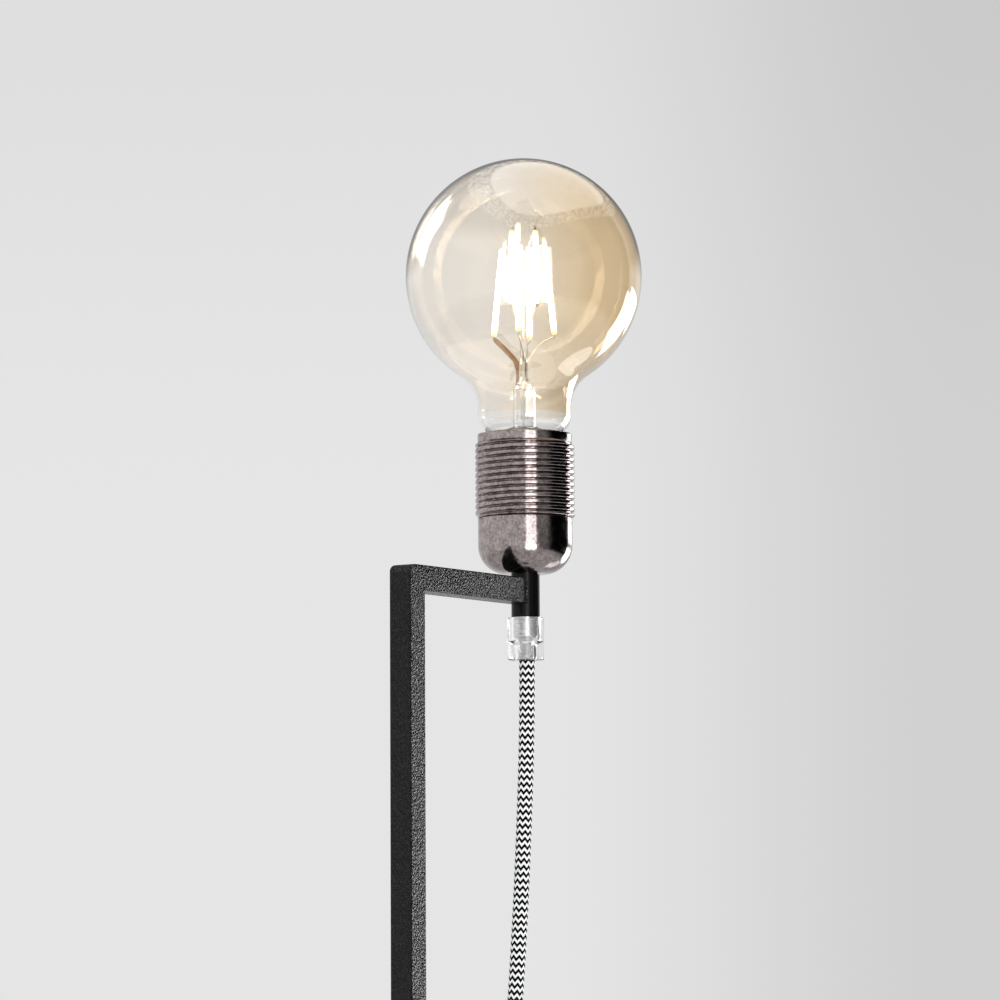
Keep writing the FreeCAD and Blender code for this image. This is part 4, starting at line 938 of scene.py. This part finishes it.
def glassOutline(inset, count):
    globe = globeRadius - inset
    neck = glassLook["neck"] - inset
    shoulder = glassLook["shoulder"] + inset
    foot = glassLook["footRound"] - inset
    centre = bulbTop - globeRadius
    drop = math.sqrt((globe + shoulder) ** 2 - (neck + shoulder) ** 2)
    lean = math.degrees(math.atan2(drop, neck + shoulder))
    footCentre = (neck - foot, rimTop - glassLook["footDrop"] + glassLook["footRound"])
    outline = arc(footCentre, foot, -glassLook["mouthAngle"], 0, 12)
    outline += arc((neck + shoulder, centre - drop), shoulder, 180, 180 - lean, 24)
    return outline + arc((0.0, centre), globe, -lean, 90, count)[1:-1] + [(0.0, centre + globe)]


def buildGlass():
    outline = glassOutline(0.0, 96) + glassOutline(glassLook["wall"], 96)[::-1]
    addPiece("globeGlass", turned(outline, 192), "glass_amber", "bulb", ["bulb_glass"])


stemLook = {"mouth": 12.85 * mm, "foot": -0.15 * mm, "flare": 0.9 * mm, "neck": 2.6 * mm,
            "radius": 4.6 * mm, "wall": 0.7 * mm, "tubeTop": 19.0 * mm, "pressTop": 30.5 * mm,
            "width": 8.4 * mm, "depth": 3.4 * mm, "square": 4.0, "round": 0.8 * mm,
            "angle": 203.4, "flatten": 4.0 * mm}


def buildStem():  # a flare, a tube and a pressed flat end, in one piece of glass
    look = stemLook
    radius, wall, mouth = look["radius"], look["wall"], look["mouth"]

    def flare(inset, count):
        points = []
        for k in range(count + 1):
            share = k / count
            height = look["flare"] - inset + (look["neck"] - look["flare"]) * share ** 3
            points.append((radius - inset + (mouth - radius) * (1 - share), rimTop + height))
        return points

    top = rimTop + look["pressTop"]
    outline = [(mouth, rimTop + look["foot"])] + flare(0.0, 16)
    outline += rows(radius, rimTop + look["neck"], rimTop + look["tubeTop"], 4)
    outline += rows(radius, rimTop + look["tubeTop"], top - look["round"], 12)
    outline += [(radius * 0.995, top - look["round"]), (radius * 0.95, top - look["round"] / 3)]
    outline += [(radius * 0.82, top), (0.0, top), (0.0, rimTop + look["tubeTop"] - wall)]
    outline += [(radius - wall, rimTop + look["tubeTop"] - wall)]
    outline += flare(wall, 16)[::-1] + [(mouth - wall, rimTop + look["foot"])]

    def pressed(out, angle, height):
        share = eased((height - rimTop - look["tubeTop"]) / look["flatten"])
        across = abs(math.cos(angle - math.radians(look["angle"]))) / (look["width"] / 2)
        deep = abs(math.sin(angle - math.radians(look["angle"]))) / (look["depth"] / 2)
        flat = (across ** look["square"] + deep ** look["square"]) ** (-1 / look["square"])
        return out * (1 + (flat / radius - 1) * share)

    addPiece("stemGlass", turned(outline, 72, head, pressed), "glass_clear", "bulb",
             ["bulb_stem"], 50)


postLook = {"radius": 1.1 * mm, "hub": 2.0 * mm, "hubHeight": 2.4 * mm, "round": 0.6 * mm,
            "exhaust": 1.5 * mm, "exhaustWall": 0.45 * mm, "exhaustRound": 0.3 * mm,
            "exhaustFoot": 6.0 * mm, "exhaustTop": 18.2 * mm}
postTop = highest("filament_post").z


def buildPost():
    look = postLook
    low = rimTop + stemLook["pressTop"] + 0.02 * mm
    hubLow, edge = postTop - look["hubHeight"], look["round"]
    outline = [(0.0, low), (look["radius"] * 1.25, low)]
    outline += rows(look["radius"], low, hubLow, 8) + [(look["radius"], hubLow - edge)]
    outline += arc((look["hub"] - edge, hubLow + edge), edge, -90, 0, 6)
    outline += arc((look["hub"] - edge, postTop - edge), edge, 0, 90, 6) + [(0.0, postTop)]
    addPiece("mountPost", turned(outline, 32), "glass_clear", "bulb", ["filament_post"], 60)
    inner = look["exhaust"] - look["exhaustWall"]
    low, high = rimTop + look["exhaustFoot"], rimTop + look["exhaustTop"]
    edge = look["exhaustRound"]
    outline = [(inner, low)] + arc((look["exhaust"] - edge, low + edge), edge, -90, 0, 3)
    outline += rows(look["exhaust"], low, high, 6) + [(look["exhaust"], high), (inner, high)]
    addPiece("exhaustGlass", turned(outline, 32), "glass_clear", "bulb", ["exhaust_tube"], 60)


filamentLook = {"radius": 1.1 * mm, "count": 4, "firstAngle": 203.4, "footCircle": 12.4 * mm,
                "footRise": 40.0 * mm, "topCircle": 8.8 * mm, "topRise": 75.6 * mm,
                "innerAngles": (170.0, 259.0), "innerFootCircle": 7.4 * mm,
                "innerFootRise": 52.4 * mm, "innerTopCircle": 6.6 * mm,
                "innerTopRise": 82.2 * mm, "strip": 3, "tab": 1.4 * mm, "tabWidth": 1.1 * mm,
                "tabThickness": 0.3 * mm, "wire": 0.27 * mm, "root": 1.4 * mm, "sag": 1.0 * mm}


def aboveRim(circle, angle, rise):
    return onAxis(rimTop + rise) + outward(angle) * circle


def filamentEnds():
    look = filamentLook
    ends = []
    for k in range(look["count"]):
        angle = look["firstAngle"] + 360 / look["count"] * k
        ends.append((angle, aboveRim(look["footCircle"], angle, look["footRise"]),
                     aboveRim(look["topCircle"], angle, look["topRise"])))
    for angle in look["innerAngles"]:
        ends.append((angle, aboveRim(look["innerFootCircle"], angle, look["innerFootRise"]),
                     aboveRim(look["innerTopCircle"], angle, look["innerTopRise"])))
    return ends


def capsule(start, end, radius, segments):
    # a rod with rounded ends from start to end
    way = end - start
    length = way.length
    outline = [(0.0, 0.0)] + arc((0.0, radius), radius, -75, 0, 5)
    outline += rows(radius, radius, length - radius, 10)
    outline += arc((0.0, length - radius), radius, 0, 75, 5) + [(0.0, length)]
    turning = way.to_track_quat("Z", "Y").to_matrix().to_4x4()
    return placed(turned(outline, segments, (0.0, 0.0)), Matrix.Translation(start) @ turning)


def tabAt(place, way, angle):
    # a small flat plate that leaves a filament's end and narrows outward
    look = filamentLook
    side = up.cross(outward(angle))
    out = side.cross(way).normalized()
    points = []
    for along, narrow in ((-0.2, 1.0), (1.0, 0.7)):
        for a, b in ((-1, -1), (1, -1), (1, 1), (-1, 1)):
            points.append(place + way * look["tab"] * along
                          + side * a * look["tabWidth"] / 2 * narrow
                          + out * b * look["tabThickness"] / 2)
    faces = [[k, (k + 1) % 4, 4 + (k + 1) % 4, 4 + k] for k in range(4)]
    return points, faces + [[3, 2, 1, 0], [4, 5, 6, 7]]


def bentWire(start, bend, end):
    line = evenLine(splineLine([start, bend, end], 12), 0.8 * mm)[0]
    return tube(line, filamentLook["wire"], 10)


def buildFilaments():
    look = filamentLook
    hub = onAxis(postTop - postLook["hubHeight"] / 2)
    press = onAxis(rimTop + stemLook["pressTop"] - look["sag"])
    rods, tabs, wires = [], [], []
    for index, (angle, foot, top) in enumerate(filamentEnds()):
        way = (top - foot).normalized()
        rods.append(capsule(foot, top, look["radius"], 20))
        tabs += [tabAt(foot, -way, angle), tabAt(top, way, angle)]
        tip = top + way * look["tab"] * 0.8
        root = hub + outward(angle) * (postLook["hub"] - look["wire"])
        bend = (root + tip) / 2 + up * look["sag"]
        wires.append(bentWire(root, bend, tip))
        if index != look["strip"]:
            tip = foot - way * look["tab"] * 0.8
            root = press + outward(angle) * look["root"]
            bend = root.lerp(tip, 0.35)
            bend.z = tip.z - look["sag"]
            wires.append(bentWire(root, bend, tip))
    addPiece("glowingFilaments", joined(rods), "filament_glow", "bulb", ["led_filaments"])
    addPiece("filamentTabs", joined(tabs), "nickel", "bulb", (), 30)
    addPiece("holdingWires", joined(wires), "nickel", "bulb", ["support_wires"], 60)


stripLook = {"width": 2.1 * mm, "thickness": 0.45 * mm, "root": 2.3 * mm, "rootRise": 19.6 * mm,
             "bendRise": 28.6 * mm}


def buildStrip():  # a flat leg that rises from the press and carries one filament's foot
    look = stripLook
    angle, foot, top = filamentEnds()[filamentLook["strip"]]
    way = (top - foot).normalized()
    root = aboveRim(look["root"], angle, look["rootRise"])
    bend = aboveRim(look["root"], angle, look["bendRise"])
    line = evenLine(splineLine([root, (root + bend) / 2, bend, bend.lerp(foot, 0.55),
                                foot - way * filamentLook["tab"] / 2], 10), 0.5 * mm)[0]
    points, faces = [], []
    for k, place in enumerate(line):
        run = (line[min(k + 1, len(line) - 1)] - line[max(k - 1, 0)]).normalized()
        wide = run.cross(ahead).normalized() * look["width"] / 2
        thick = run.cross(wide).normalized() * look["thickness"] / 2
        narrow = min(1.0, 0.55 + 0.15 * (len(line) - 1 - k))
        for a, b in ((-0.88, -1), (0.88, -1), (1, -0.5), (1, 0.5), (0.88, 1), (-0.88, 1),
                     (-1, 0.5), (-1, -0.5)):
            points.append(place + wide * a * narrow + thick * b)
    for k in range(len(line) - 1):
        for j in range(8):
            a, b = k * 8 + j, k * 8 + (j + 1) % 8
            faces.append([a, b, b + 8, a + 8])
    last = (len(line) - 1) * 8
    faces += [list(range(7, -1, -1)), [last + j for j in range(8)]]
    addPiece("flatLeg", (points, faces), "copper_strip", "bulb", ["filament_strip"], 30)


buildGlass()
buildStem()
buildPost()
buildFilaments()
buildStrip()
print("bulb made")

# ribbed boot of the plug

bootLook = {"rear": 4.4 * mm, "front": 6.4 * mm, "ribs": 6, "ribDepth": 0.9 * mm, "ribShare": 0.62,
            "bore": 3.2 * mm, "edge": 0.6 * mm, "steps": 14}


def buildBoot():  # a tapered sleeve, cut into rings over its rear part
    look = bootLook
    low, high = lowest("plug_boot"), highest("plug_boot")
    length = high.x - low.x
    ribEnd = length * look["ribShare"]
    outline = [(look["bore"], 0.0), (look["rear"] - look["edge"], 0.0)]
    outline.append((look["rear"], look["edge"]))
    count = look["ribs"] * look["steps"]
    for k in range(1, count + 1):
        along = look["edge"] + (ribEnd - look["edge"]) * k / count
        share = abs(math.sin(math.pi * look["ribs"] * k / count)) ** 0.45
        out = look["rear"] + (look["front"] - look["rear"]) * along / length
        outline.append((out - look["ribDepth"] * (1 - share), along))
    outline += [(look["front"] - 0.1 * mm, length - look["edge"]), (look["front"], length)]
    outline += [(look["bore"], length)]
    laid = Matrix.Rotation(-math.pi / 2, 4, "Y")
    place = Matrix.Translation((high.x, (low.y + high.y) / 2, (low.z + high.z) / 2))
    return addPiece("ribbedBoot", placed(turned(outline, 48, (0.0, 0.0)), place @ laid),
                    "rubber_black", "lamp", ["plug_boot"], 35)


boot = buildBoot()
print("boot made")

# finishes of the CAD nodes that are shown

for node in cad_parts.values():
    node.material_slots[0].material = finishes[node.data.materials[0].name]
